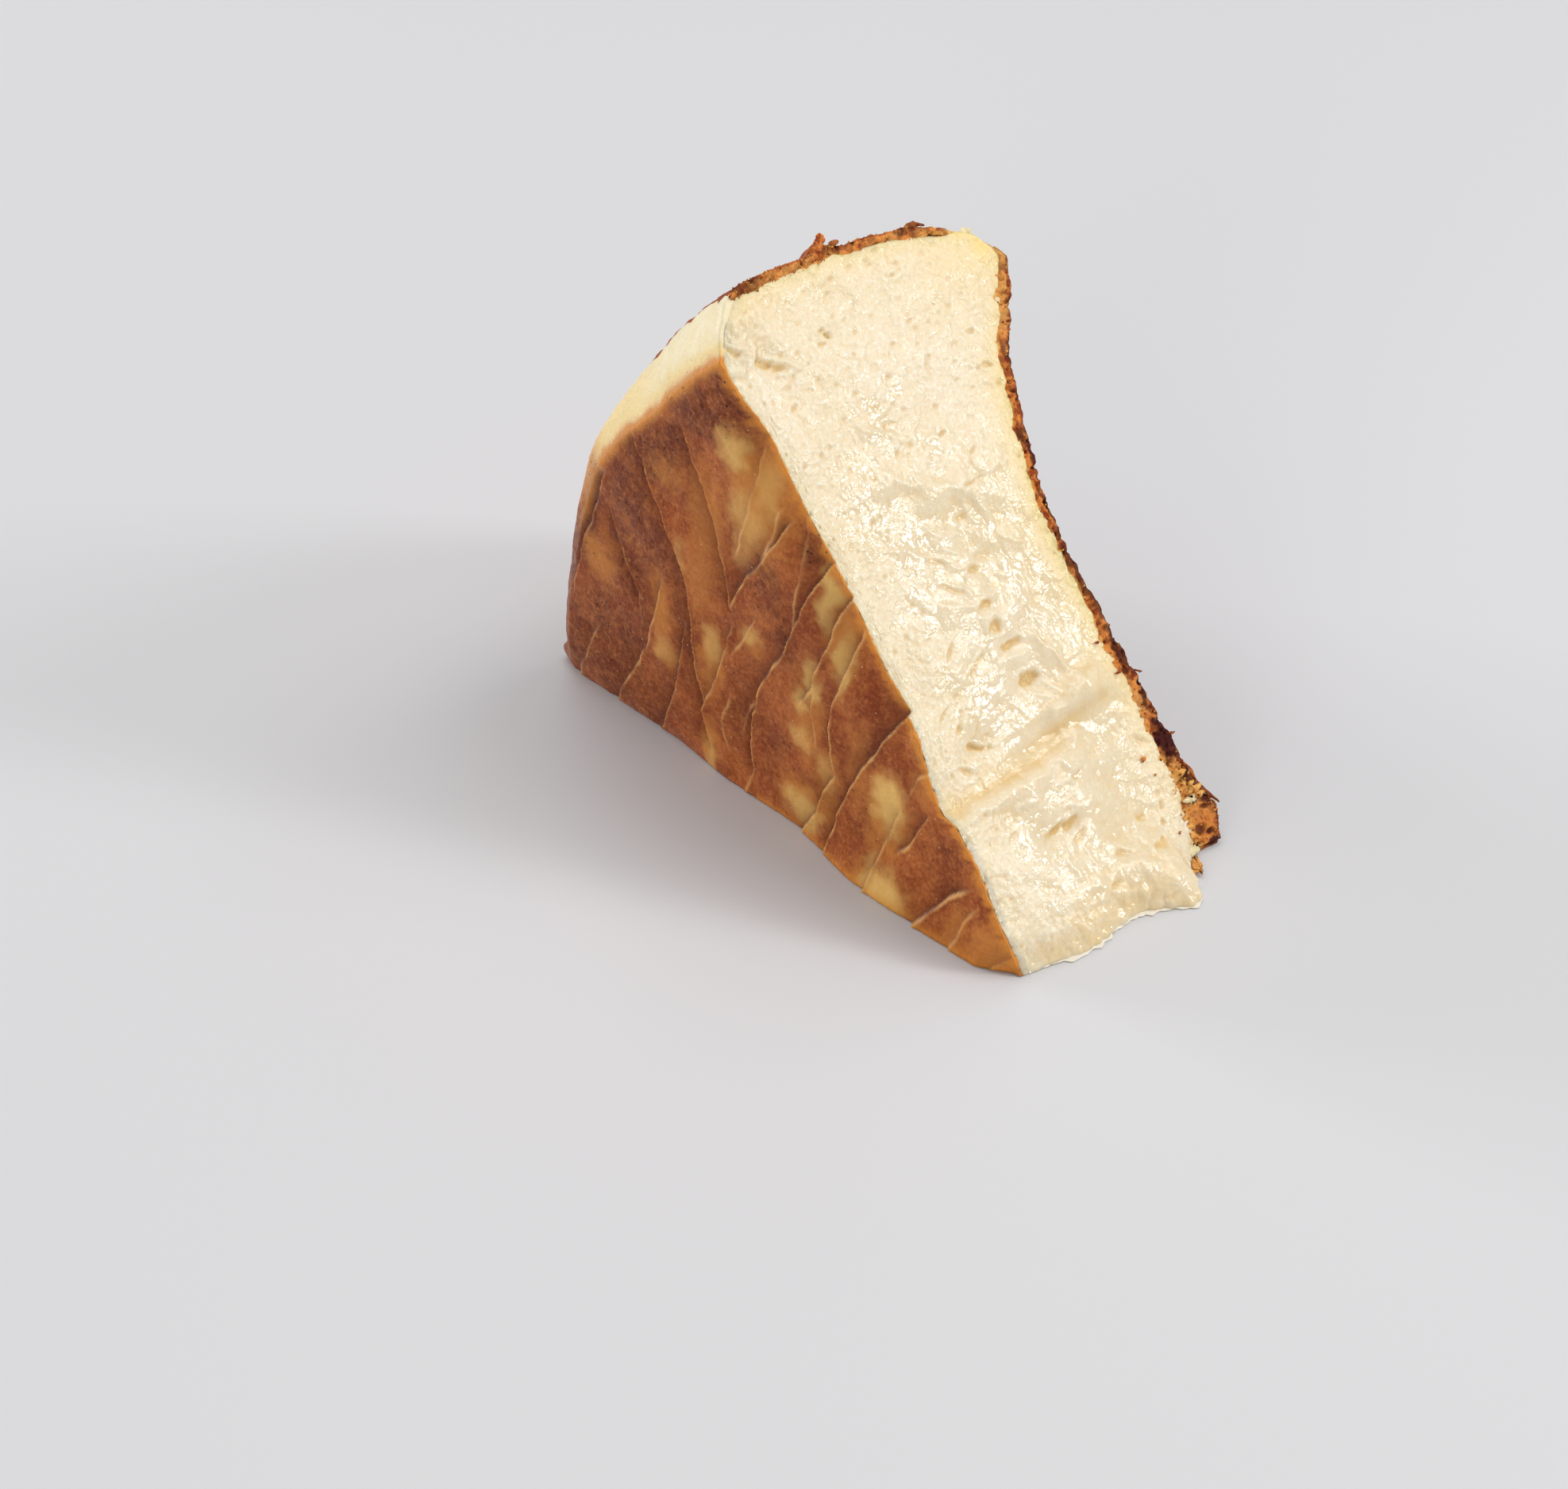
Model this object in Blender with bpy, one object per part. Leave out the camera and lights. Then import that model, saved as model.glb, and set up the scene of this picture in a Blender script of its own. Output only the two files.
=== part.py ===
"""A slice of basque cheesecake, lying on one of its two cut faces.

The slice is a sector of a round cake, turned so that the cake's axis is level:
  X  runs through the cake, from its browned base to its burnt top
  Y  runs along the lower cut face, from the tip to the outer wall
  Z  is up, and the lower cut face lies on Z = 0
A point of the cake is written as (radius from the cake's axis, turn up from the lower cut
face, height above the cake's base). The outline of the cake is drawn once in (radius,
height) and turned through the slice's angle. What the knife, the baking paper and the
weight of the soft middle did to it is added as smooth shifts, each fading into the slice.
"""

import math

import bmesh
import bpy
import numpy as np

MM = 0.001
DEGREE = math.pi / 180

# ---- driving dimensions ----------------------------------------------------------------
SLICE_ANGLE = 50.6 * DEGREE
BASE_RADIUS = 103.4 * MM
TIP_HEIGHT = 46.2 * MM
WALL_RADIUS = 112.2 * MM

# The top, from the tip across the sunken middle to the crest of the rim: radius, height.
CREST = (98.6, 57.3)
SUNKEN_TOP = ((0, 46.2), (8, 47.0), (20, 45.7), (32, 44.5), (50, 43.4), (62, 43.9), (74, 46.2))
RISING_TOP = ((84, 49.6), (91, 54.0), (95.2, 56.5))
TOP_LINE = np.array((*SUNKEN_TOP, *RISING_TOP, CREST)) * MM
# The outside, from the base up the slanted foot and the wall to the same crest.
FOOT = ((103.4, 0), (108.4, 3.2), (111.9, 7.6))
WALL = ((112.2, 14), (111.6, 24), (110.2, 36), (108.6, 44), (105.2, 52.2), (102.4, 55.6))
WALL_LINE = np.array((*FOOT, *WALL, CREST)) * MM

# Mesh density: cells from the tip to the wall, from the base to the top, along the wall.
RADIAL_CELLS = 54
HEIGHT_CELLS = 23
WALL_CELLS = 46

# How far a face's relief reaches into the slice, and how far it keeps from the tip.
RELIEF_DEPTH = 6 * MM
RELIEF_MARGIN = 7 * MM
OUTER_POWER = 6

# The foot is wider over the ground than at the upper cut.
FOOT_SPREAD = 5.2 * MM
FOOT_NARROWS = (21 * DEGREE, 40 * DEGREE)
FOOT_HEIGHT = 9 * MM
# The wall was pressed in over the ground: depth, height above the base, size, end of it.
DENT = 3 * MM
DENT_HEIGHT = 11 * MM
DENT_SIZE = 13 * MM
DENT_ANGLE = 32 * DEGREE
# Upright pleats that the baking paper pressed into the wall: turn in degrees, depth in mm.
PLEATS = ((4, 1.0), (11, 0.8), (17, 1.3), (25, 0.9), (31, 1.2), (38, 0.7), (44, 0.9))
PLEAT_WIDTH = 1.5 * MM
PLEAT_FADE = (4 * MM, 14 * MM, 44 * MM, 55 * MM)
# Flakes of crust that lift off the wall: turn in degrees, height, rise, size, in mm.
WALL_FLAKES = ((49.5, 26.5, 1.3, 2.2), (0.8, 1.5, 1.8, 2.0), (21, 38, 0.9, 2.6), (34, 47, 0.8, 2.4))

# The base sagged outwards where it meets the ground, near the tip.
SAG = 3.6 * MM
SAG_HEIGHT = 15 * MM
SAG_DEPTH = 26 * MM
SAG_START = (0, 7 * MM)
SAG_END = (31 * MM, 54 * MM)
# Further out it is tucked in under the slice.
TUCK = 1.3 * MM
TUCK_HEIGHT = 7 * MM
TUCK_START = (66 * MM, 82 * MM)
# Its browned skin curls up along the upper cut.
CURL = 2.4 * MM
CURL_WIDTH = 5 * MM
CURL_SPAN = (28 * MM, 46 * MM, 88 * MM, 102 * MM)
BASE_WAVES = 0.35 * MM
BASE_WAVE_SIZE = 30 * MM

# Folds that the baking paper pressed into the base: routes in (Y, Z), millimetres.
FOLDS = (
    ((76, 66), (70, 55), (66.5, 44), (65, 34)),
    ((87, 58), (80, 46), (76, 36), (73.5, 20), (71, 3)),
    ((95, 42), (91, 33), (87.5, 27), (87, 21)),
    ((52, 57), (58, 47), (65, 35.5), (70, 22), (72.5, 12)),
    ((43, 54), (48, 43), (54, 31), (60, 20), (60.5, 3)),
    ((39, 49), (44, 37), (48.5, 25)),
    ((35, 45), (38.5, 35), (42, 23)),
    ((26, 36), (33, 25), (39, 12), (42, 0)),
    ((20, 20), (26, 10), (32, -2)),
    ((11.5, 10), (17, 4), (23, -3)),
    ((41, 16), (45, 7), (50, 0)),
    ((75, 28), (80, 15), (85, 0)),
    ((82, 33), (86, 20), (93, 7), (98, -1)),
    ((99, 14), (103, 4), (107, -1)),
)
FOLD_DROP = 0.8 * MM
FOLD_LIFT = 0.3 * MM
FOLD_WIDTH = 3.2 * MM

# The top crust: broad wrinkles, small crags, and a flap that stands out at the tip.
CRUST_WAVES = 0.55 * MM
CRUST_WAVE_SIZE = 17 * MM
CRUST_CRAGS = 0.35 * MM
CRUST_CRAG_SIZE = 6 * MM
FLAP = 1.6 * MM
FLAP_CENTRE = 4.5 * MM
FLAP_WIDTH = 5 * MM

# The upper cut face steps up towards the tip: radius, width of the step, rise.
CUT_LEDGE = (26 * MM, 3 * MM, 1.7 * MM)
CUT_LEDGE_TOP = (23 * MM, 36 * MM)
# The knife left hollows and swells: radius, height, size along each, rise, in millimetres.
CUT_SWELLS = (
    (32.6, 34.5, 2.4, 5.5, 2.3),
    (29.5, 24.0, 1.8, 9.0, -1.0),
    (38.5, 26.5, 2.6, 4.0, -1.5),
    (45.0, 25.5, 2.2, 3.6, -1.2),
    (51.5, 25.0, 2.4, 4.0, -1.3),
    (57.5, 28.0, 3.0, 3.0, -0.9),
    (65.0, 28.5, 4.0, 3.0, -0.7),
    (70.5, 27.0, 1.6, 5.0, 0.7),
    (76.0, 18.0, 2.0, 8.0, 0.6),
    (100.0, 20.0, 1.8, 1.6, -1.2),
    (101.0, 8.5, 4.0, 1.8, -0.9),
    (16.0, 18.0, 1.6, 3.2, -1.1),
    (34.0, 12.0, 1.6, 3.0, -1.0),
    (9.0, 12.0, 7.0, 14.0, 0.9),
)
CUT_WAVES = 0.45 * MM
CUT_WAVE_SIZE = 26 * MM
CUT_START = SLICE_ANGLE / 3

# The soft middle has run out past the tip: how far, at what height in the cake, how wide.
TOE_LOBES = ((2.8 * MM, 13.5 * MM, 8 * MM), (1.4 * MM, 24 * MM, 5 * MM), (6.4 * MM, 32 * MM, 4.6 * MM))
TOE_REACH = 5 * MM
TOE_SWELL = 1.3 * MM
TOE_SWELL_RADIUS = 4 * MM
TOE_SWELL_SIZE = 3 * MM
# Above the run-out part, the tip stands back.
TIP_SETBACK = 1.6 * MM
TIP_SETBACK_FROM = 38 * MM


# ---- small helpers ---------------------------------------------------------------------
def ramp(value, start, end):
    """0 at start, 1 at end, smooth between them."""
    part = np.clip((value - start) / (end - start), 0, 1)
    return part * part * (3 - 2 * part)


def bump(value, centre, width, power=2):
    """A smooth hill, 1 at its centre. A higher power makes it flatter on top."""
    return np.exp(-(np.abs((value - centre) / width) ** power))


def band(value, low_out, low_in, high_in, high_out):
    """1 between the two inner values, fading to 0 at the outer ones."""
    return ramp(value, low_out, low_in) * (1 - ramp(value, high_in, high_out))


def waves(across, along, size, seed, count=5):
    """A gentle uneven surface between about -1 and 1, from a few crossed sine waves."""
    rng = np.random.default_rng(seed)
    total = 0
    for octave in range(count):
        turn, phase, stretch = rng.uniform(0, 2 * math.pi, 3)
        step = 2 * math.pi / (size * (0.6 + 0.14 * octave))
        heading = math.cos(turn) * across + math.sin(turn) * along
        total = total + np.sin(step * heading + phase + np.sin(step * along * 0.37 + stretch))
    return total / count


def smooth_line(stations, samples=60):
    """A Catmull-Rom curve through the stations, with its length so far."""
    padded = np.vstack([2 * stations[0] - stations[1], stations, 2 * stations[-1] - stations[-2]])
    t = np.linspace(0, 1, samples, endpoint=False)[:, None]
    runs = []
    for a, b, c, d in zip(padded, padded[1:], padded[2:], padded[3:]):
        runs.append(b + 0.5 * t * (c - a + t * (2 * a - 5 * b + 4 * c - d + t * (3 * b - 3 * c + d - a))))
    points = np.vstack([*runs, stations[-1:]])
    steps = np.linalg.norm(np.diff(points, axis=0), axis=1)
    return points, np.concatenate([[0], np.cumsum(steps)])


def along_line(line, share):
    """The point at this share of the line's length."""
    points, length = line
    where = share * length[-1]
    return np.interp(where, length, points[:, 0]), np.interp(where, length, points[:, 1])


# ---- the cake's outline ----------------------------------------------------------------
TOP_CURVE = smooth_line(TOP_LINE)
WALL_CURVE = smooth_line(WALL_LINE)


def section(outward, upward):
    """Radius and height in the cake's cross-section, outward and upward running from 0 to 1.

    The inside is blended between the base, the top, the wall and the cake's axis."""
    top_radius, top_height = along_line(TOP_CURVE, outward)
    wall_radius, wall_height = along_line(WALL_CURVE, upward)
    crest_radius, crest_height = TOP_LINE[-1]
    radius = (1 - upward) * outward * BASE_RADIUS + upward * top_radius + outward * wall_radius
    radius -= outward * ((1 - upward) * BASE_RADIUS + upward * crest_radius)
    height = upward * top_height + (1 - outward) * upward * TIP_HEIGHT + outward * wall_height
    height -= upward * ((1 - outward) * TIP_HEIGHT + outward * crest_height)
    return radius, height


# ---- what the knife, the paper and the weight did ---------------------------------------
def wall_shift(radius, turn, height):
    """How far the wall and its foot move outwards."""
    shift = FOOT_SPREAD * (1 - ramp(turn, *FOOT_NARROWS)) * (1 - ramp(height, 0, FOOT_HEIGHT))
    shift -= DENT * (1 - ramp(turn, DENT_ANGLE / 2, DENT_ANGLE)) * bump(height, DENT_HEIGHT, DENT_SIZE)
    for degrees, depth in PLEATS:
        across = (turn - degrees * DEGREE) * WALL_RADIUS
        shift -= depth * MM * bump(across, 0, PLEAT_WIDTH) * band(height, *PLEAT_FADE)
    for degrees, at_height, rise, size in WALL_FLAKES:
        across = (turn - degrees * DEGREE) * WALL_RADIUS
        shift += rise * MM * bump(across, 0, size * MM) * bump(height, at_height * MM, size * MM)
    return shift * (radius / BASE_RADIUS) ** OUTER_POWER


def fold_relief(y, z):
    """Height of the base's folds: each drops off on one side of its route and fades."""
    total = np.zeros_like(y)
    for route in FOLDS:
        points = np.array(route) * MM
        nearest = np.full_like(y, np.inf)
        side = np.zeros_like(y)
        for start, end in zip(points, points[1:]):
            run = end - start
            share = np.clip(((y - start[0]) * run[0] + (z - start[1]) * run[1]) / (run @ run), 0, 1)
            off_y = y - start[0] - share * run[0]
            off_z = z - start[1] - share * run[1]
            distance = np.hypot(off_y, off_z)
            closer = distance < nearest
            nearest = np.where(closer, distance, nearest)
            side = np.where(closer, np.sign(run[0] * off_z - run[1] * off_y), side)
        total += np.where(side > 0, -FOLD_DROP, FOLD_LIFT) * np.exp(-nearest / FOLD_WIDTH)
    return total


def base_shift(radius, height, below_cut, y, z):
    """How far the base moves in along X."""
    near_base = 1 - ramp(height, 0, RELIEF_DEPTH)
    low = np.clip(1 - z / SAG_HEIGHT, 0, 1) ** 2
    sag = SAG * low * ramp(y, *SAG_START) * (1 - ramp(y, *SAG_END))
    sag *= np.clip(1 - height / SAG_DEPTH, 0, 1) ** 2
    tuck = TUCK * np.clip(1 - z / TUCK_HEIGHT, 0, 1) ** 2 * ramp(y, *TUCK_START)
    curl = CURL * bump(below_cut, 0, CURL_WIDTH) * band(radius, *CURL_SPAN)
    relief = fold_relief(y, z) + BASE_WAVES * waves(y, z, BASE_WAVE_SIZE, seed=5)
    return (tuck + curl - relief * ramp(radius, 0, RELIEF_MARGIN)) * near_base - sag


def crust_shift(radius, turn, below_top, y, z):
    """How far the top crust moves out along X."""
    relief = CRUST_WAVES * waves(y, z, CRUST_WAVE_SIZE, seed=7)
    relief += CRUST_CRAGS * waves(y, z, CRUST_CRAG_SIZE, seed=11)
    flap = FLAP * bump(radius, FLAP_CENTRE, FLAP_WIDTH) * ramp(turn, 0, SLICE_ANGLE)
    return (relief * ramp(radius, 0, RELIEF_MARGIN) + flap) * (1 - ramp(below_top, 0, RELIEF_DEPTH))


def cut_rise(radius, turn, height, below_cut):
    """How far the upper cut face stands out from a flat cut."""
    edge, width, rise = CUT_LEDGE
    total = rise * (1 - ramp(radius, edge - width / 2, edge + width / 2))
    total *= 1 - ramp(height, *CUT_LEDGE_TOP)
    for at_radius, at_height, wide, tall, swell in CUT_SWELLS:
        hill = bump(radius, at_radius * MM, wide * MM) * bump(height, at_height * MM, tall * MM)
        total += swell * MM * hill
    total += CUT_WAVES * waves(radius, height, CUT_WAVE_SIZE, seed=3)
    total *= ramp(radius, 0, RELIEF_MARGIN) * ramp(turn, 0, CUT_START)
    return total * (1 - ramp(below_cut, 0, RELIEF_DEPTH))


def toe_reach(height):
    """How far past the tip the soft cheese has run."""
    reach = sum(size * bump(height, centre, width, power=4) for size, centre, width in TOE_LOBES)
    return reach - TIP_SETBACK * ramp(height, TIP_SETBACK_FROM, TIP_HEIGHT)


def to_slice(radius, turn, height):
    """Places points of the cake, with every shift added. Returns an array of X, Y, Z."""
    below_cut = radius * np.sin(SLICE_ANGLE - turn)
    below_top = np.interp(radius, *TOP_CURVE[0].T) - height
    radius = radius + wall_shift(radius, turn, height)
    y = radius * np.cos(turn)
    z = radius * np.sin(turn)
    x = height + base_shift(radius, height, below_cut, y, z)
    x += crust_shift(radius, turn, below_top, y, z)

    rise = cut_rise(radius, turn, height, below_cut)
    y -= rise * math.sin(SLICE_ANGLE)
    z += rise * math.cos(SLICE_ANGLE)

    reach = toe_reach(height)
    y -= reach * bump(radius, 0, TOE_REACH)
    swell = bump(radius, TOE_SWELL_RADIUS, TOE_SWELL_SIZE) * ramp(radius, 0, TOE_SWELL_RADIUS)
    z += TOE_SWELL * swell * np.clip(reach / TOE_REACH, 0, 1) * turn / SLICE_ANGLE
    return np.column_stack([x, y, z])


# ---- the closed surface ------------------------------------------------------------------
def ring_cells(ring):
    """Cells across the slice at this ring, fewer towards the tip."""
    return max(1, round(ring * WALL_CELLS / RADIAL_CELLS)) if ring else 0


def strip(inner, outer):
    """Triangles between two rows of points that may differ in number."""
    faces = []
    a = b = 0
    while a < len(inner) - 1 or b < len(outer) - 1:
        ahead_a = (a + 1) / (len(inner) - 1) if a < len(inner) - 1 else math.inf
        ahead_b = (b + 1) / (len(outer) - 1) if b < len(outer) - 1 else math.inf
        if ahead_b <= ahead_a:
            faces.append((inner[a], outer[b], outer[b + 1]))
            b += 1
        else:
            faces.append((inner[a], outer[b], inner[a + 1]))
            a += 1
    return faces


def slice_surface():
    """Points of the slice, and its faces: cut faces, base, then crust and wall."""
    keys = {}

    def point(ring, step, level):
        return keys.setdefault((ring, step, level), len(keys))

    cuts, base, crust = [], [], []
    rings = range(RADIAL_CELLS + 1)
    levels = range(HEIGHT_CELLS + 1)
    for level, faces in ((0, base), (HEIGHT_CELLS, crust)):
        rows = [[point(ring, step, level) for step in range(ring_cells(ring) + 1)] for ring in rings]
        for inner, outer in zip(rows, rows[1:]):
            faces.extend(strip(inner, outer))
    for level in levels[:-1]:
        low = [point(RADIAL_CELLS, step, level) for step in range(WALL_CELLS + 1)]
        high = [point(RADIAL_CELLS, step, level + 1) for step in range(WALL_CELLS + 1)]
        crust.extend(strip(low, high))
        low = [point(ring, ring_cells(ring), level) for ring in rings]
        high = [point(ring, ring_cells(ring), level + 1) for ring in rings]
        cuts.extend(strip(low, high))
    lower = [point(ring, 0, 0) for ring in rings]
    lower += [point(RADIAL_CELLS, 0, level) for level in levels[1:]]
    lower += [point(ring, 0, HEIGHT_CELLS) for ring in reversed(rings[:-1])]
    lower += [point(0, 0, level) for level in reversed(levels[1:-1])]
    cuts.append(lower)

    ring, step, level = np.array(list(keys)).T
    cells = np.array([ring_cells(r) for r in rings])[ring]
    radius, height = section(ring / RADIAL_CELLS, level / HEIGHT_CELLS)
    turn = SLICE_ANGLE * step / np.maximum(cells, 1)
    return to_slice(radius, turn, height), (cuts, base, crust)


# ---- the object --------------------------------------------------------------------------
def clear_scene():
    for item in list(bpy.data.objects):
        bpy.data.objects.remove(item)


def food_material(name, colour, roughness):
    material = bpy.data.materials.new(name)
    material.use_nodes = True
    shader = material.node_tree.nodes["Principled BSDF"]
    shader.inputs["Base Color"].default_value = (*colour, 1)
    shader.inputs["Roughness"].default_value = roughness
    shader.inputs["Metallic"].default_value = 0
    material.diffuse_color = (*colour, 1)
    return material


def make_slice():
    """The slice as one closed body, standing on the ground and centred over the origin."""
    points, surfaces = slice_surface()
    low, high = points.min(axis=0), points.max(axis=0)
    points -= ((low[0] + high[0]) / 2, (low[1] + high[1]) / 2, 0)

    mesh = bpy.data.meshes.new("cheesecake_slice")
    mesh.from_pydata(points.tolist(), [], [face for faces in surfaces for face in faces])
    mesh.materials.append(food_material("soft_cheese", (0.86, 0.75, 0.52), 0.45))
    mesh.materials.append(food_material("browned_base", (0.33, 0.12, 0.045), 0.55))
    mesh.materials.append(food_material("burnt_crust", (0.16, 0.06, 0.03), 0.6))
    kinds = [kind for kind, faces in enumerate(surfaces) for _ in faces]
    mesh.polygons.foreach_set("material_index", kinds)

    body = bmesh.new()
    body.from_mesh(mesh)
    bmesh.ops.recalc_face_normals(body, faces=body.faces)
    bmesh.ops.triangulate(body, faces=body.faces)
    body.to_mesh(mesh)
    body.free()
    mesh.shade_smooth()
    mesh.set_sharp_from_angle(angle=40 * DEGREE)

    piece = bpy.data.objects.new("cheesecake_slice", mesh)
    bpy.context.scene.collection.objects.link(piece)


clear_scene()
make_slice()
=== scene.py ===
# %% [markdown]
# # A slice of basque cheesecake
#
# The slice lies on one of its two cut faces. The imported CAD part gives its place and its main
# form, and this lesson dresses it: a soft cheese middle, a browned base that took the folds of
# the baking paper, a burnt crust, and the crumbs that the knife left.
# All of it is made in one frame: X from the base to the burnt top, Y from the tip to the outer
# wall, Z up.

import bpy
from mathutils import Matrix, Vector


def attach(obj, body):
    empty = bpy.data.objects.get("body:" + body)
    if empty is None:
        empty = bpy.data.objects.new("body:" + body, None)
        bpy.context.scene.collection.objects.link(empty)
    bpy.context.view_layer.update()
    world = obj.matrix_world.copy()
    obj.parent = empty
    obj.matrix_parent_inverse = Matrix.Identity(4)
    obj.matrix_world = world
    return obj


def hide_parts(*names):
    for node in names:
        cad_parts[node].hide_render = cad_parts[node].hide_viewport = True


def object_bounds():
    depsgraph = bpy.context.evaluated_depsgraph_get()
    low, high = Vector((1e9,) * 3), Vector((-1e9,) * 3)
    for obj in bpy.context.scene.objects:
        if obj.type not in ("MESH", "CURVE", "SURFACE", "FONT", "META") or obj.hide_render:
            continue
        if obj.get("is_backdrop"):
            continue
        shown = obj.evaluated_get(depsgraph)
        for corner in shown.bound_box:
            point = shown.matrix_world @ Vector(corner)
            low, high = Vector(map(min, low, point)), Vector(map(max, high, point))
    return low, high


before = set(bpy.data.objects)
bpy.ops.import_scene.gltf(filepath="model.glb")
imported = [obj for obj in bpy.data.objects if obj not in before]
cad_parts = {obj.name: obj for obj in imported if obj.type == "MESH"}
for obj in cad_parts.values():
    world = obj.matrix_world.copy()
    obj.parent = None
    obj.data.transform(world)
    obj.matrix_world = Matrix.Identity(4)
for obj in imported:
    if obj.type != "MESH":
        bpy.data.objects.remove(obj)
cad_low, cad_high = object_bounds()
print("CAD box in millimetres:", [round(1000 * side, 1) for side in cad_high - cad_low])

# %% The other modules
import math

import bmesh
import bpy
import numpy as np
from mathutils import Matrix, Vector, noise

MM = 0.001
SLICE = "cheesecake_slice"

# %% [markdown]
# ## The camera
#
# The photograph looks down at the slice from the side of its base and a little from the tip.
# The camera could be aimed with a constraint, but a fixed turn is easier to read: azimuth round
# the slice, elevation above the table, and a small roll, because the photograph isn't level.

# %% Place the camera
CAMERA_PLACE = (-0.3182595, -0.3281752, 0.3559035)
CAMERA_AZIMUTH = -41.577
CAMERA_ELEVATION = 37.8266
CAMERA_ROLL = -1.3605
CAMERA_LENS = 80.507


def turned_camera(azimuth, elevation, roll):
    """The camera's turn. Azimuth 0 looks along +Y."""
    a, e = math.radians(azimuth), math.radians(elevation)
    back = Vector((math.sin(a) * math.cos(e), -math.cos(a) * math.cos(e), math.sin(e)))
    right = Vector((math.cos(a), math.sin(a), 0))
    level = Matrix((right, back.cross(right), back)).transposed()
    return level.to_4x4() @ Matrix.Rotation(math.radians(roll), 4, "Z")


camera_data = bpy.data.cameras.new("camera")
camera_data.lens = CAMERA_LENS
camera_data.sensor_width = 36
camera_data.clip_start = 0.01
camera = bpy.data.objects.new("camera", camera_data)
camera.matrix_world = Matrix.Translation(CAMERA_PLACE) @ turned_camera(
    CAMERA_AZIMUTH, CAMERA_ELEVATION, CAMERA_ROLL
)
bpy.context.scene.collection.objects.link(camera)
bpy.context.scene.camera = camera
print("Camera stands", round(camera.location.length, 3), "m from the middle of the slice")

# %% [markdown]
# ## Light and floor
#
# Moist cheese shows its shape by small sharp glints on soft shading. A bare sun would make hard
# shadows, so large soft boxes are used: one high behind the wall, a long one at the right
# that the wet cheese mirrors, and a weak one on the browned base.

# %% Soft boxes, the surrounding light and the floor
SOFT_BOXES = {
    # name: (place, aim, width, height, power in watts, colour)
    "window_box": ((0.52, -0.38, 1.04), (0, 0, 0.03), 0.6, 0.6, 4.4, (1.0, 0.97, 0.93)),
    "glint_box": ((0.70, -0.88, 0.66), (0, 0, 0.03), 0.2, 0.38, 5.1, (1.0, 0.98, 0.96)),
    "top_box": ((0.22, 0.48, 1.05), (0, 0, 0.03), 0.7, 0.7, 3.3, (1.0, 0.985, 0.97)),
    "back_box": ((-0.40, 1.02, 0.28), (0, 0, 0.05), 0.5, 0.3, 5.2, (1.0, 0.985, 0.96)),
    "base_box": ((-1.0, -0.40, 0.34), (0, 0, 0.03), 0.5, 0.35, 2.5, (1.0, 0.96, 0.92)),
}
SURROUNDING = (1.0, 0.985, 0.96)
SURROUNDING_STRENGTH = 0.32
FLOOR_COLOUR = (0.69, 0.70, 0.735)


def soft_box(name, place, aim, width, height, power, colour):
    light = bpy.data.lights.new(name, "AREA")
    light.shape = "RECTANGLE"
    light.size, light.size_y = width, height
    light.energy, light.color = power, colour
    box = bpy.data.objects.new(name, light)
    box.location = place
    box.rotation_euler = (Vector(place) - Vector(aim)).to_track_quat("Z", "Y").to_euler()
    bpy.context.scene.collection.objects.link(box)


for name, values in SOFT_BOXES.items():
    soft_box(name, *values)
world = bpy.data.worlds.new("studio")
world.use_nodes = True
world.node_tree.nodes["Background"].inputs["Color"].default_value = (*SURROUNDING, 1)
world.node_tree.nodes["Background"].inputs["Strength"].default_value = SURROUNDING_STRENGTH
bpy.context.scene.world = world
bpy.context.scene.view_settings.view_transform = "Standard"

floor_mesh = bpy.data.meshes.new("floor")
floor_mesh.from_pydata([(-3, -3, 0), (3, -3, 0), (3, 3, 0), (-3, 3, 0)], [], [(0, 1, 2, 3)])
floor = bpy.data.objects.new("floor", floor_mesh)
floor.location.z = -0.0002
bpy.context.scene.collection.objects.link(floor)
floor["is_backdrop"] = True
print("Soft boxes:", ", ".join(SOFT_BOXES))

# %% [markdown]
# ## The cake's own coordinates
#
# A round cake is easiest to draw as it stands: a radius from its axis, a turn up from the lower
# cut face, and a height above its base, all in millimetres. The whole slice is drawn
# that way and then laid down. The outline of the cake is one line across the top and one up the
# outside, the same lines as in the CAD source.

# %% The outline of the cake
SLICE_ANGLE = math.radians(50.6)
BASE_RADIUS = 103.4
TIP_HEIGHT = 46.2
WALL_RADIUS = 112.2
CREST = (98.6, 57.3)
SUNKEN_TOP = ((0, 46.2), (8, 47.0), (20, 45.7), (32, 44.5), (50, 43.4), (62, 43.9), (74, 46.2))
RISING_TOP = ((84, 49.6), (91, 54.0), (95.2, 56.5))
FOOT = ((103.4, 0), (108.4, 3.2), (111.9, 7.6))
WALL = ((112.2, 14), (111.6, 24), (110.2, 36), (108.6, 44), (105.2, 52.2), (102.4, 55.6))
# Where the cake's base and its axis lie in the part's frame.
CAKE_PLACE = (-26.8989, -52.6459)


def ramp(value, start, end):
    """0 at start, 1 at end, smooth between them."""
    part = np.clip((value - start) / (end - start), 0, 1)
    return part * part * (3 - 2 * part)


def bump(value, centre, width, power=2):
    """A smooth hill, 1 at its centre. A higher power makes it flatter on top."""
    return np.exp(-(np.abs((value - centre) / width) ** power))


def band(value, low_out, low_in, high_in, high_out):
    """1 between the two inner values, fading to 0 at the outer ones."""
    return ramp(value, low_out, low_in) * (1 - ramp(value, high_in, high_out))


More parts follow.
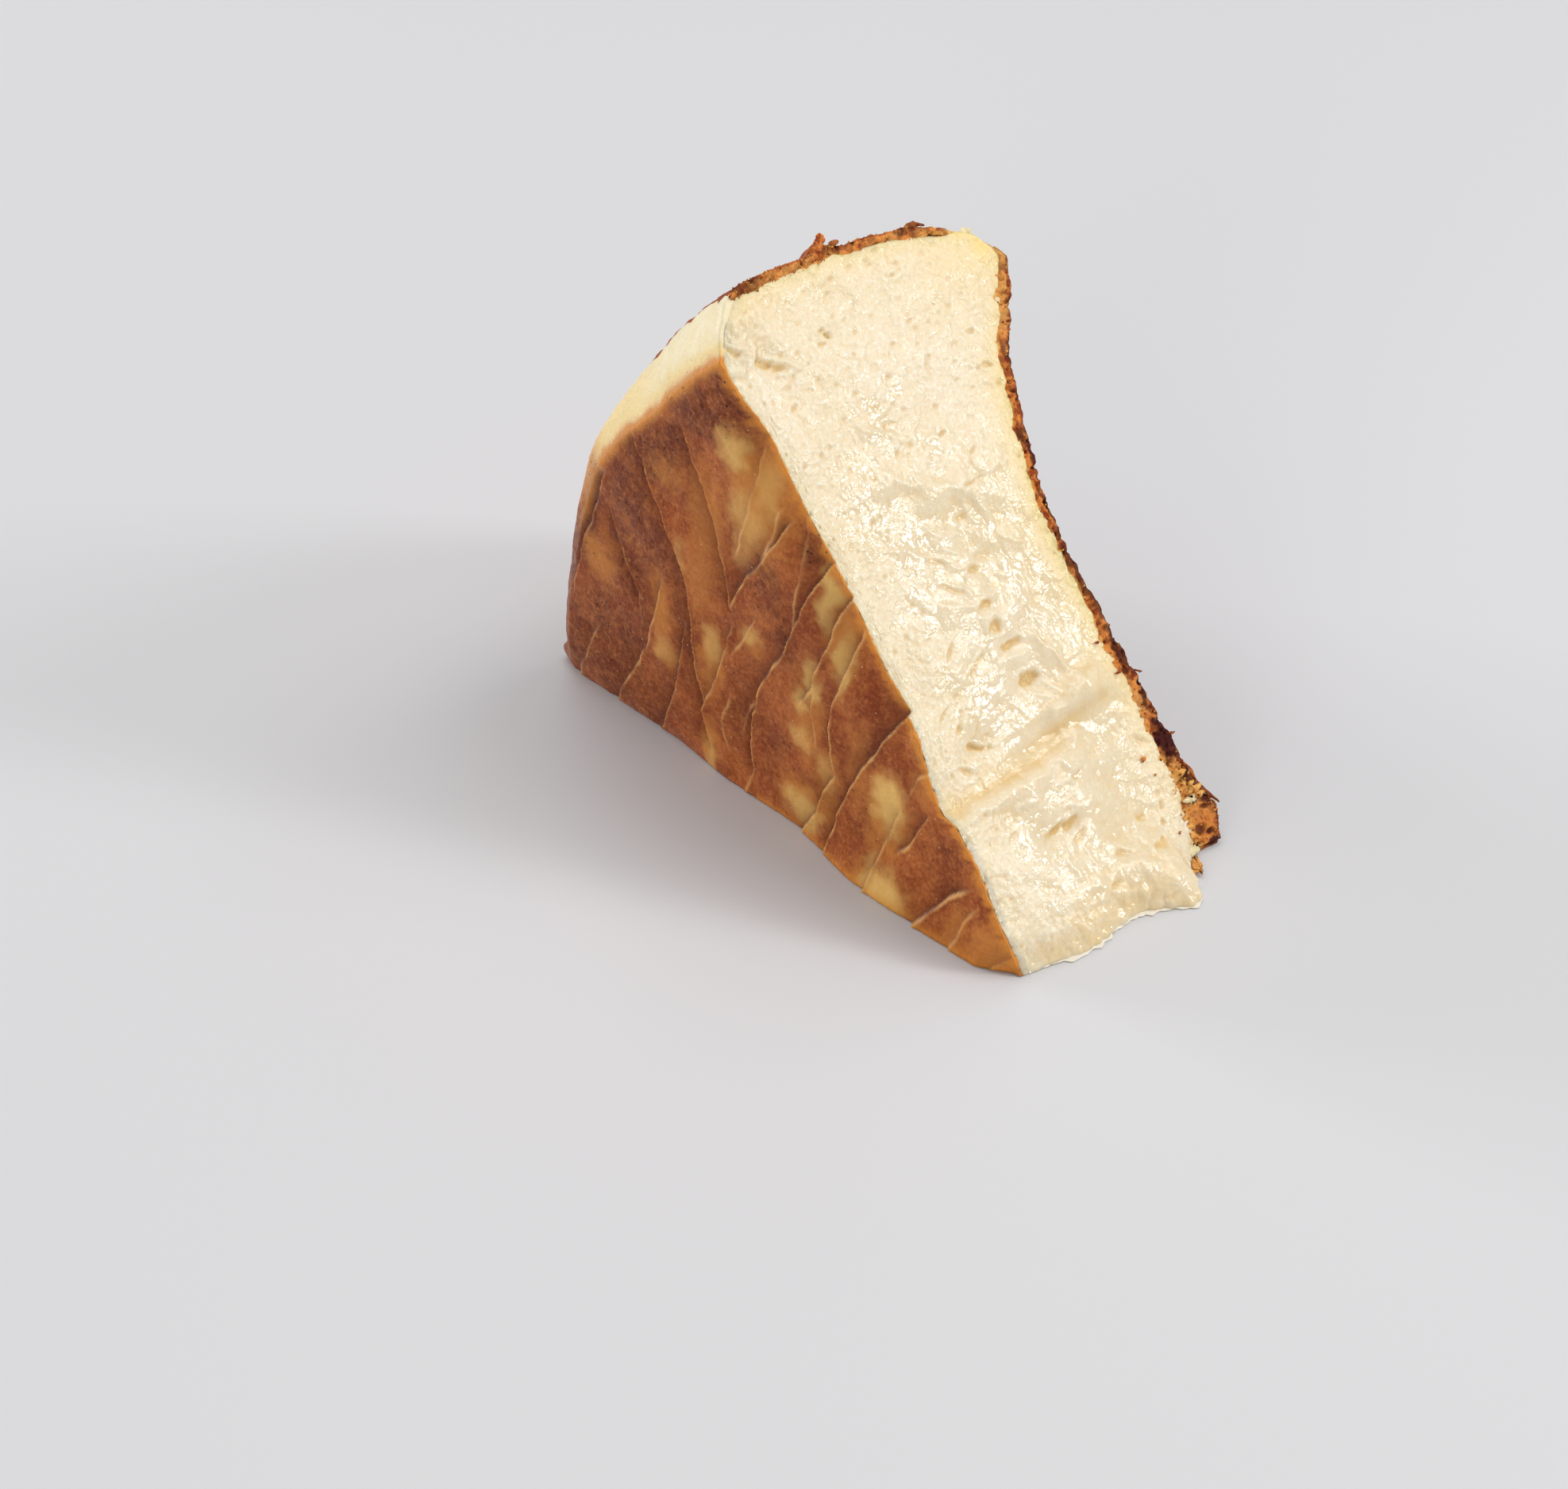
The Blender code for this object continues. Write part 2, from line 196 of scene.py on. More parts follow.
def smooth_line(stations, samples=60):
    """A Catmull-Rom curve through the stations, with its length so far."""
    stations = np.array(stations, float)
    padded = np.vstack([2 * stations[0] - stations[1], stations, 2 * stations[-1] - stations[-2]])
    t = np.linspace(0, 1, samples, endpoint=False)[:, None]
    runs = []
    for a, b, c, d in zip(padded, padded[1:], padded[2:], padded[3:]):
        curve = c - a + t * (2 * a - 5 * b + 4 * c - d + t * (3 * b - 3 * c + d - a))
        runs.append(b + 0.5 * t * curve)
    points = np.vstack([*runs, stations[-1:]])
    steps = np.linalg.norm(np.diff(points, axis=0), axis=1)
    return points, np.concatenate([[0], np.cumsum(steps)])


def along_line(line, length):
    """The point at this length along the line."""
    points, so_far = line
    return np.interp(length, so_far, points[:, 0]), np.interp(length, so_far, points[:, 1])


TOP_CURVE = smooth_line((*SUNKEN_TOP, *RISING_TOP, CREST))
WALL_CURVE = smooth_line((*FOOT, *WALL, CREST))


def top_at(radius):
    """Height of the cake's top at this radius."""
    return np.interp(radius, *TOP_CURVE[0].T)


def wall_at(height):
    """Radius of the cake's outside at this height."""
    return np.interp(height, *WALL_CURVE[0].T[::-1])


print("Line over the top", round(TOP_CURVE[1][-1]), "mm, up the wall", round(WALL_CURVE[1][-1]), "mm")

# %% [markdown]
# ## Grain
#
# Food is never smooth. Blender's noise textures only colour a surface, and here the relief
# should be real mesh, so a small gradient noise is written in numpy. It has a fixed seed, so the
# slice comes out the same each time.

# %% Gradient noise and pits for relief
NOISE_GRID = 256


def grain(across, along, size, seed, stretch=1.0):
    """Smooth random hills about `size` apart, between about -1 and 1."""
    rng = np.random.default_rng(seed)
    headings = rng.uniform(0, 2 * math.pi, (NOISE_GRID, NOISE_GRID))
    slopes = np.stack([np.cos(headings), np.sin(headings)], axis=-1)
    shift = rng.uniform(0, 100, 2)
    x, y = across / size + shift[0], along / (size * stretch) + shift[1]
    column, row = np.floor(x).astype(int), np.floor(y).astype(int)
    x, y = x - column, y - row

    def corner(right, up):
        slope = slopes[(column + right) % NOISE_GRID, (row + up) % NOISE_GRID]
        return slope[..., 0] * (x - right) + slope[..., 1] * (y - up)

    fade_x = x * x * x * (x * (x * 6 - 15) + 10)
    fade_y = y * y * y * (y * (y * 6 - 15) + 10)
    low = corner(0, 0) * (1 - fade_x) + corner(1, 0) * fade_x
    high = corner(0, 1) * (1 - fade_x) + corner(1, 1) * fade_x
    return 1.5 * (low * (1 - fade_y) + high * fade_y)


def hills(across, along, *layers):
    """Grain of several sizes in one. Each layer is (height, size, seed)."""
    return sum(high * grain(across, along, size, seed) for high, size, seed in layers)


def pits(across, along, spacing, seed, share, wide=0.35):
    """1 at the middle of small round pits that lie about `spacing` apart, 0 between them.

    share is how many of the places have a pit."""
    rng = np.random.default_rng(seed)
    place = rng.uniform(0.15, 0.85, (NOISE_GRID, NOISE_GRID, 2))
    size = rng.uniform(0.5, 1.0, (NOISE_GRID, NOISE_GRID)) * wide
    size *= rng.uniform(0, 1, size.shape) < share
    x, y = across / spacing + 50, along / spacing + 50
    column, row = np.floor(x).astype(int), np.floor(y).astype(int)
    deepest = np.zeros_like(x)
    for right in (-1, 0, 1):
        for up in (-1, 0, 1):
            a, b = (column + right) % NOISE_GRID, (row + up) % NOISE_GRID
            gap = np.hypot(x - column - right - place[a, b, 0], y - row - up - place[a, b, 1])
            wide_here = np.maximum(size[a, b], 1e-6)
            deepest = np.maximum(deepest, np.exp(-((gap / wide_here) ** 2)))
    return deepest


def patches(across, along, spots, seed, warp=1.0, frayed=0.2, soft=0.35):
    """1 in the middle of each spot (across, along, half-width, half-height, strength).

    warp bends the outline, frayed makes it ragged, soft is the width of its border."""
    fray = frayed * hills(across, along, (1, 1.5, seed + 2), (0.6, 0.7, seed + 3))
    warped = across + warp * grain(across, along, 3.2, seed)
    along = along + warp * grain(across, along, 3.2, seed + 1)
    total = np.zeros_like(across)
    for x, y, wide, tall, strength in spots:
        gap = np.hypot((warped - x) / wide, (along - y) / tall) + fray
        total = np.maximum(total, strength * (1 - ramp(gap, 1 - soft, 1 + soft)))
    return total


print("Grain repeats after", NOISE_GRID, "hills")

# %% [markdown]
# ## What the knife, the paper and the weight did
#
# Nearly the same shifts as in the CAD source bend the plain sector, with finer folds and a finer
# toe: the foot spreads, the wall is dented and pleated, the base is folded, the crust is
# wrinkled, the upper cut has a ledge, and the soft middle has run out past the tip. Each depends
# only on the place in the cake, so pieces that touch move together and no gap opens.

# %% The wall
OUTER_POWER = 6
FOOT_SPREAD = 5.2
FOOT_NARROWS = (math.radians(21), math.radians(40))
FOOT_HEIGHT = 9
DENT = 3
DENT_HEIGHT = 11
DENT_SIZE = 13
DENT_ANGLE = math.radians(32)
PLEATS = ((4, 1.0), (11, 0.8), (17, 1.3), (25, 0.9), (31, 1.2), (38, 0.7), (44, 0.9))
PLEAT_WIDTH = 1.5
PLEAT_FADE = (4, 14, 44, 55)
WALL_FLAKES = ((49.5, 26.5, 1.3, 2.2), (0.8, 1.5, 1.8, 2.0), (21, 38, 0.9, 2.6), (34, 47, 0.8, 2.4))


def wall_shift(radius, turn, height):
    """How far the wall and its foot move outwards."""
    shift = FOOT_SPREAD * (1 - ramp(turn, *FOOT_NARROWS)) * (1 - ramp(height, 0, FOOT_HEIGHT))
    shift -= DENT * (1 - ramp(turn, DENT_ANGLE / 2, DENT_ANGLE)) * bump(height, DENT_HEIGHT, DENT_SIZE)
    for degrees, depth in PLEATS:
        across = (turn - math.radians(degrees)) * WALL_RADIUS
        shift -= depth * bump(across, 0, PLEAT_WIDTH) * band(height, *PLEAT_FADE)
    for degrees, at_height, rise, size in WALL_FLAKES:
        across = (turn - math.radians(degrees)) * WALL_RADIUS
        shift += rise * bump(across, 0, size) * bump(height, at_height, size)
    return shift * (radius / BASE_RADIUS) ** OUTER_POWER


# %% The baking paper's folds: how far they drop, their lip's rise and painted highlight, and their route
FOLD_WIDTH = 2.6
LIP_WIDTH = 0.26
FOLDS = (
    # drop and lip in millimetres, then the route in (Y, Z)
    (0.9, 0.16, ((76, 66), (70.5, 55), (67, 45), (65, 33.5))),
    (0.9, 0.16, ((87, 58), (81, 46), (76, 36), (74, 22), (71, 3))),
    (0.7, 0.10, ((95, 42), (91, 33.5), (88, 28), (87.5, 22))),
    (0.8, 0.30, ((51, 58), (57, 48), (61, 43), (65, 35))),
    (0.5, 0.24, ((65, 32), (68, 22), (71.5, 14), (72.5, 10))),
    (0.8, 0.28, ((43, 54), (47, 46), (52, 34), (58, 24), (60.4, 14), (60.5, 3))),
    (0.2, 0.22, ((49.3, 61), (48.6, 54), (50, 43), (50.6, 38))),
    (0.6, 0.34, ((39.5, 50), (43, 39), (46.5, 29.5), (49, 24.5))),
    (0.5, 0.34, ((36.5, 45), (38.5, 36), (41.5, 28), (42, 20), (40.5, 14))),
    (0.8, 0.30, ((25.5, 37), (33, 23), (38.5, 13), (41, 5), (42, -1))),
    (0.4, 0.34, ((26, 18), (29, 9), (30.8, 1), (31.6, -5))),
    (0.7, 0.26, ((20, 20), (24, 12), (27, 8))),
    (0.7, 0.42, ((11.5, 10.5), (16, 5), (20, 0), (24, -5))),
    (0.3, 0.24, ((9.5, 8.5), (11, 3), (13, -4))),
    (0.3, 0.14, ((2, 3), (6, -3))),
    (0.7, 0.32, ((41, 16), (44, 9.5), (47, 3), (50, -2))),
    (0.7, 0.14, ((76, 27), (78, 18), (81, 8), (85, -1))),
    (0.6, 0.22, ((81, 33), (85, 20), (90, 10), (97, -2))),
    (0.5, 0.16, ((98.5, 15), (102, 7), (107, -2))),
    (0.3, 0.26, ((57.5, 69), (58.6, 61), (61, 53), (63.5, 45))),
    (0.2, 0.26, ((53, 60), (55.5, 52), (58, 47))),
    (0.3, 0.22, ((45, 35), (46, 27), (45.6, 18))),
    (0.3, 0.20, ((58, 38), (62, 31), (66, 24.5))),
    (0.3, 0.20, ((60, 20), (62.2, 15), (63.2, 11))),
    (0.2, 0.22, ((65.6, 18), (67.4, 12), (66.4, 6))),
    (0.2, 0.28, ((60.3, 5), (63, -1.5))),
    (0.9, 0.14, ((94.5, 47.5), (98, 38), (102.5, 27), (105, 18))),
    (0.4, 0.16, ((92, 36), (89, 30), (86, 26))),
    (0.3, 0.20, ((20.5, 27), (23, 24.5), (25, 20))),
)
NO_FOLD = 9.0


def near_route(y, z, route):
    """Distance to the route, its side (positive on the left), and the fade at its two ends."""
    points, so_far = smooth_line(route, samples=8)
    nearest = np.full_like(y, np.inf)
    side = np.zeros_like(y)
    along = np.zeros_like(y)
    for start, end, before in zip(points, points[1:], so_far):
        run = end - start
        share = np.clip(((y - start[0]) * run[0] + (z - start[1]) * run[1]) / (run @ run), 0, 1)
        off_y = y - start[0] - share * run[0]
        off_z = z - start[1] - share * run[1]
        distance = np.hypot(off_y, off_z)
        closer = distance < nearest
        nearest = np.where(closer, distance, nearest)
        side = np.where(closer, np.sign(run[0] * off_z - run[1] * off_y), side)
        along = np.where(closer, before + share * np.linalg.norm(run), along)
    fade = ramp(along, -0.5, 3) * (1 - ramp(along, so_far[-1] - 3, so_far[-1] + 0.5))
    return nearest, side, fade


def folds(y, z):
    """Relief of the base's folds, the painted shade beside each crease, and the painted highlight on the
    lips.
    """
    relief, crease_shade, lip_highlight = np.zeros_like(y), np.zeros_like(y), np.zeros_like(y)
    wander = hills(y, z, (0.5, 5, 31), (0.18, 1.8, 32))
    gleam = np.clip(0.75 + 0.9 * grain(y, z, 3.5, seed=33), 0.25, 1.4)
    for drop, lip_rise, route in FOLDS:
        ends = np.array(route)
        close = (y > ends[:, 0].min() - NO_FOLD) & (y < ends[:, 0].max() + NO_FOLD)
        close &= (z > ends[:, 1].min() - NO_FOLD) & (z < ends[:, 1].max() + NO_FOLD)
        if not close.any():
            continue
        distance, side, fade = near_route(y[close] + wander[close], z[close], route)
        step = np.tanh(side * distance / 0.2)
        fall = np.exp(-distance / FOLD_WIDTH) * fade
        relief[close] += drop * fall * np.where(step > 0, -step, -0.3 * step)
        relief[close] += lip_rise * bump(distance, 0, LIP_WIDTH * 1.3) * fade
        # Painted shade on the recessed side of each fold, darkest at the crease and fading away from it.
        shade = 0.9 * bump(distance, 0.1, 0.5) + 0.8 * np.exp(-distance / 2.6)
        crease_shade[close] = np.maximum(crease_shade[close], drop * (step > 0) * shade * fade)
        # Painted highlight: a bright line along each fold's lip.
        lit = lip_rise * bump(distance, 0, LIP_WIDTH) * fade * gleam[close]
        lip_highlight[close] = np.maximum(lip_highlight[close], lit)
    return relief, crease_shade, lip_highlight


print("Folds in the base:", len(FOLDS))

# %% The base, the crust and the upper cut
RELIEF_DEPTH = 6
RELIEF_MARGIN = 7
SAG = 3.6
SAG_HEIGHT = 15
SAG_DEPTH = 26
SAG_START = (0, 7)
SAG_END = (31, 54)
TUCK = 1.3
TUCK_HEIGHT = 7
TUCK_START = (66, 82)
CURL = 2.4
CURL_WIDTH = 5
CURL_SPAN = (28, 46, 88, 102)
BASE_WAVES = (0.35, 30)
CRUST_WAVES = (0.55, 17)
CRUST_CRAGS = (0.35, 6)
FLAP = (1.6, 4.5, 5)
CUT_LEDGE = (26, 3, 1.7)
CUT_LEDGE_TOP = (23, 36)
CUT_SWELLS = (
    # radius, height, size along each, rise
    (32.6, 34.5, 2.4, 5.5, 2.1),
    (29.5, 24.0, 1.8, 9.0, -1.0),
    (38.5, 26.5, 2.6, 4.0, -0.8),
    (45.0, 25.5, 2.2, 3.6, -0.6),
    (51.5, 25.0, 2.4, 4.0, -0.6),
    (57.5, 28.0, 3.0, 3.0, -0.5),
    (65.0, 28.5, 4.0, 3.0, -0.4),
    (70.5, 27.0, 1.6, 5.0, 0.7),
    (76.0, 18.0, 2.0, 8.0, 0.6),
    (100.0, 20.0, 1.8, 1.6, -0.4),
    (101.0, 8.5, 4.0, 1.8, -0.9),
    (16.0, 18.0, 1.6, 3.2, -1.1),
    (34.0, 12.0, 1.6, 3.0, -1.0),
    (9.0, 12.0, 7.0, 14.0, 0.9),
)
CUT_WAVES = (0.45, 26)
CUT_START = SLICE_ANGLE / 3


def waves(across, along, size, seed, count=5):
    """A gentle uneven surface between about -1 and 1, from a few crossed sine waves."""
    rng = np.random.default_rng(seed)
    total = 0
    for octave in range(count):
        turn, phase, stretch = rng.uniform(0, 2 * math.pi, 3)
        step = 2 * math.pi / (size * (0.6 + 0.14 * octave))
        heading = math.cos(turn) * across + math.sin(turn) * along
        total = total + np.sin(step * heading + phase + np.sin(step * along * 0.37 + stretch))
    return total / count


def base_shift(radius, height, below_cut, y, z):
    """How far the base moves in along X."""
    near_base = 1 - ramp(height, 0, RELIEF_DEPTH)
    low = np.clip(1 - z / SAG_HEIGHT, 0, 1) ** 2
    sag = SAG * low * ramp(y, *SAG_START) * (1 - ramp(y, *SAG_END))
    sag *= np.clip(1 - height / SAG_DEPTH, 0, 1) ** 2
    tuck = TUCK * np.clip(1 - z / TUCK_HEIGHT, 0, 1) ** 2 * ramp(y, *TUCK_START)
    curl = CURL * bump(below_cut, 0, CURL_WIDTH) * band(radius, *CURL_SPAN)
    relief = BASE_WAVES[0] * waves(y, z, BASE_WAVES[1], seed=5)
    on_base = near_base > 0
    relief[on_base] += folds(y[on_base], z[on_base])[0]
    return (tuck + curl - relief * ramp(radius, 0, RELIEF_MARGIN)) * near_base - sag


def crust_shift(radius, turn, below_top, y, z):
    """How far the top crust moves out along X."""
    relief = CRUST_WAVES[0] * waves(y, z, CRUST_WAVES[1], seed=7)
    relief += CRUST_CRAGS[0] * waves(y, z, CRUST_CRAGS[1], seed=11)
    flap = FLAP[0] * bump(radius, *FLAP[1:]) * ramp(turn, 0, SLICE_ANGLE)
    return (relief * ramp(radius, 0, RELIEF_MARGIN) + flap) * (1 - ramp(below_top, 0, RELIEF_DEPTH))


def cut_rise(radius, turn, height, below_cut):
    """How far the upper cut face stands out from a flat cut."""
    edge, width, rise = CUT_LEDGE
    edge = edge + 0.5 * grain(height, 0, 3.5, seed=41)
    total = rise * (1 - ramp(radius, edge - width / 2, edge + width / 2))
    total *= 1 - ramp(height, *CUT_LEDGE_TOP)
    for at_radius, at_height, wide, tall, swell in CUT_SWELLS:
        total += swell * bump(radius, at_radius, wide) * bump(height, at_height, tall)
    total += CUT_WAVES[0] * waves(radius, height, CUT_WAVES[1], seed=3)
    total *= ramp(radius, 0, RELIEF_MARGIN) * ramp(turn, 0, CUT_START)
    return total * (1 - ramp(below_cut, 0, RELIEF_DEPTH))


print("Swells and hollows of the upper cut:", len(CUT_SWELLS))

# %% The toe that ran out, and laying the cake down
# How far past the tip the soft cheese has run: height, millimetres.
TOE_LINE = (
    (0, 0.1), (4, 0.8), (7, 1.8), (11.5, 2.9), (15, 3.0), (19, 2.4), (22.6, 2.3), (25.7, 3.1),
    (29, 5.4), (31.3, 7.0), (33.4, 6.3), (35.2, 4.1), (36.5, 1.8), (38, 0.4), (42, -1.6), (46.2, -1.6),
)
TOE_CURVE = smooth_line(TOE_LINE)
TOE_REACH = 5
TOE_SWELL = 1.3
TOE_SWELL_RADIUS = 4
TOE_SWELL_SIZE = 3
# The soft edge at the tip is rounded: how round, over which radius, and between which heights.
LIP_ROUNDNESS = 0.8
LIP_SIZE = 3.5
LIP_SPAN = (0, 6, 36, 42)


def toe_reach(height):
    return np.interp(height, *TOE_CURVE[0].T)


def lay_down(radius, turn, height, cut=0, base=0, crust=0, wall=0):
    """Places points of the cake in the part's frame, in millimetres.

    cut, base, crust and wall are finer relief: outwards from the upper cut, from the base,
    from the top and from the wall."""
    below_cut = radius * np.sin(SLICE_ANGLE - turn)
    below_top = top_at(radius) - height
    from_axis = radius
    radius = radius + wall_shift(radius, turn, height) + wall
    y = radius * np.cos(turn)
    z = radius * np.sin(turn)
    x = height + base_shift(radius, height, below_cut, y, z) - base
    x = x + crust_shift(radius, turn, below_top, y, z) + crust

    rise = cut_rise(radius, turn, height, below_cut) + cut
    y = y - rise * math.sin(SLICE_ANGLE)
    z = z + rise * math.cos(SLICE_ANGLE)

    reach = toe_reach(height)
    y = y - reach * bump(radius, 0, TOE_REACH)
    swell = bump(radius, TOE_SWELL_RADIUS, TOE_SWELL_SIZE) * ramp(radius, 0, TOE_SWELL_RADIUS)
    z = z + TOE_SWELL * swell * np.clip(reach / TOE_REACH, 0, 1) * turn / SLICE_ANGLE
    rounded = np.sqrt(from_axis**2 + 2 * LIP_ROUNDNESS * from_axis) - from_axis
    z = z + rounded * np.sin(turn) * bump(from_axis, 0, LIP_SIZE) * band(height, *LIP_SPAN)
    return np.column_stack([x + CAKE_PLACE[0], y + CAKE_PLACE[1], z])


corner = lay_down(np.array([BASE_RADIUS]), np.array([SLICE_ANGLE]), np.array([0.0]))[0]
print("The base's upper corner lies at", corner.round(1), "mm")

# %% [markdown]
# ## Meshes from rows of points
#
# A grid with the same number of points in each row would crowd them at the tip of the slice. So
# a row has as many steps as it is long, and neighbouring rows are stitched with triangles. Each
# point is named by its place in the lattice, which makes the pieces closed without any merging.

# %% Stitch rows, and turn named points into a piece
def strip(inner, outer):
    """Triangles between two rows of points that may differ in number."""
    faces = []
    a = b = 0
    while a < len(inner) - 1 or b < len(outer) - 1:
        ahead_a = (a + 1) / (len(inner) - 1) if a < len(inner) - 1 else math.inf
        ahead_b = (b + 1) / (len(outer) - 1) if b < len(outer) - 1 else math.inf
        if ahead_b <= ahead_a:
            faces.append((inner[a], outer[b], outer[b + 1]))
            b += 1
        else:
            faces.append((inner[a], outer[b], inner[a + 1]))
            a += 1
    return faces


def new_piece(name, points, faces, material, marks=None):
    """A closed smooth mesh in metres, its faces turned outwards. marks are values per point."""
    mesh = bpy.data.meshes.new(name)
    mesh.from_pydata((np.asarray(points) * MM).tolist(), [], faces)
    for mark, values in (marks or {}).items():
        layer = mesh.attributes.new(mark, "FLOAT", "POINT")
        layer.data.foreach_set("value", np.asarray(values, np.float32))
    body = bmesh.new()
    body.from_mesh(mesh)
    bmesh.ops.recalc_face_normals(body, faces=body.faces)
    open_edges = sum(not edge.is_manifold for edge in body.edges)
    volume = body.calc_volume(signed=True)
    if volume < 0:
        bmesh.ops.reverse_faces(body, faces=body.faces)
    body.to_mesh(mesh)
    body.free()
    mesh.shade_smooth()
    mesh.materials.append(material)
    piece = bpy.data.objects.new(name, mesh)
    bpy.context.scene.collection.objects.link(piece)
    triangles = sum(len(face.vertices) - 2 for face in mesh.polygons)
    print(f"{name}: {triangles} triangles, {abs(volume) * 1e6:.1f} cm3, open edges {open_edges}")
    return piece


def roughen(piece, depths, size):
    """Raises round grains of this size along the surface's own direction. depths is per point."""
    vertices = piece.data.vertices
    outwards = [vertex.normal.copy() for vertex in vertices]
    for vertex, outward, depth in zip(vertices, outwards, depths):
        if depth > 0.01:
            vertex.co += outward * (depth * MM * abs(noise.noise(vertex.co / (size * MM))))


def dress(piece, stands_for_slice=False):
    """Ties the piece to the part's one body, and hides the CAD slice if the piece stands for it."""
    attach(piece, "root")
    if stands_for_slice:
        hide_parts(SLICE)


# %% [markdown]
# ## Node helpers
#
# Every finish is a small tree of shader nodes. Written out in full they hide what matters, so
# short helpers add a node, mix two colours, read a mark from the mesh, and make the usual
# patterns. All patterns read the object's own coordinates, so they stay on the slice.

# %% Short ways to add shader nodes
def add(tree, kind, inputs=None, **settings):
    """Adds a node. An input, by name or number, is a plain value or another node's output."""
    made = tree.nodes.new(kind)
    for name, value in settings.items():
        setattr(made, name, value)
    for name, value in (inputs or {}).items():
        if isinstance(value, bpy.types.NodeSocket):
            tree.links.new(value, made.inputs[name])
        else:
            made.inputs[name].default_value = value
    return made


def srgb(red, green, blue):
    """A colour as seen on a screen, 0 to 255, as Blender's linear light."""
    values = []
    for level in (red / 255, green / 255, blue / 255):
        values.append(level / 12.92 if level <= 0.04045 else ((level + 0.055) / 1.055) ** 2.4)
    return (*values, 1.0)


def mixed(tree, share, first, second):
    """The colour between first and second. The node's colour sockets are told by number."""
    return add(tree, "ShaderNodeMix", {0: share, 6: first, 7: second}, data_type="RGBA").outputs[2]


def number(tree, operation, first, second):
    """Arithmetic on two numbers."""
    return add(tree, "ShaderNodeMath", {0: first, 1: second}, operation=operation).outputs[0]


def mark(tree, name):
    """A value that was stored on the mesh's points."""
    return add(tree, "ShaderNodeAttribute", attribute_name=name).outputs["Fac"]


def tinted(tree, colour, tints):
    """Lays one colour after another over the first, each where the mesh has its mark."""
    for name, tint in tints.items():
        colour = mixed(tree, mark(tree, name), colour, srgb(*tint))
    return colour


def between(tree, value, low, high, new_low=0.0, new_high=1.0):
    """Stretches low..high to new_low..new_high and clips."""
    inputs = {"Value": value, "From Min": low, "From Max": high, "To Min": new_low, "To Max": new_high}
    return add(tree, "ShaderNodeMapRange", inputs).outputs["Result"]


def speckle(tree, size, detail=3.0, rough=0.55, warp=0.0, along_x=1.0):
    """Noise with hills `size` millimetres apart, in the object's own coordinates.

    along_x draws the hills out in the direction from the base to the top."""
    place = add(tree, "ShaderNodeTexCoord").outputs["Object"]
    if along_x != 1:
        drawn = {"Vector": place, "Scale": (1 / along_x, 1, 1)}
        place = add(tree, "ShaderNodeMapping", drawn).outputs["Vector"]
    inputs = {"Vector": place, "Scale": 1000 / size, "Detail": detail}
    inputs |= {"Roughness": rough, "Distortion": warp}
    return add(tree, "ShaderNodeTexNoise", inputs).outputs["Fac"]


def dots(tree, size):
    """Distance to the nearest of points that lie about `size` millimetres apart."""
    place = add(tree, "ShaderNodeTexCoord").outputs["Object"]
    return add(tree, "ShaderNodeTexVoronoi", {"Vector": place, "Scale": 1000 / size}).outputs["Distance"]


def raised(tree, height, depth, strength=1.0, under=None):
    """A bump of this depth in millimetres."""
    inputs = {"Height": height, "Distance": depth * MM, "Strength": strength}
    if under is not None:
        inputs["Normal"] = under
    return add(tree, "ShaderNodeBump", inputs).outputs["Normal"]


def new_finish(name):
    """A material with its tree and its shader node."""
    material = bpy.data.materials.new(name)
    material.use_nodes = True
    return material, material.node_tree, material.node_tree.nodes["Principled BSDF"]


def keep_even(shader, values):
    """Sets values that are the same all over the surface."""
    for name, value in values.items():
        shader.inputs[name].default_value = value


floor_finish, _, floor_shader = new_finish("pale_floor")
keep_even(floor_shader, {"Base Color": (*FLOOR_COLOUR, 1), "Roughness": 0.5})
floor_mesh.materials.append(floor_finish)
print("Finish", floor_finish.name, "is plain")

# %% [markdown]
# ## The finish of the cheese
#
# Set cream cheese is pale ivory and lets light in, so its hollows glow golden instead of going
# grey: that is what subsurface scattering is for. Near the crust it is a little yellower. Where
# the knife dragged the soft middle it is wet and shines in small glints, and elsewhere it is
# matt and granular. The marks `wet`, `tan` and `yolk` on the mesh say where. `tan` is mostly
# painted golden shade in the hollows, pits and low places, and a golden tone along the base.

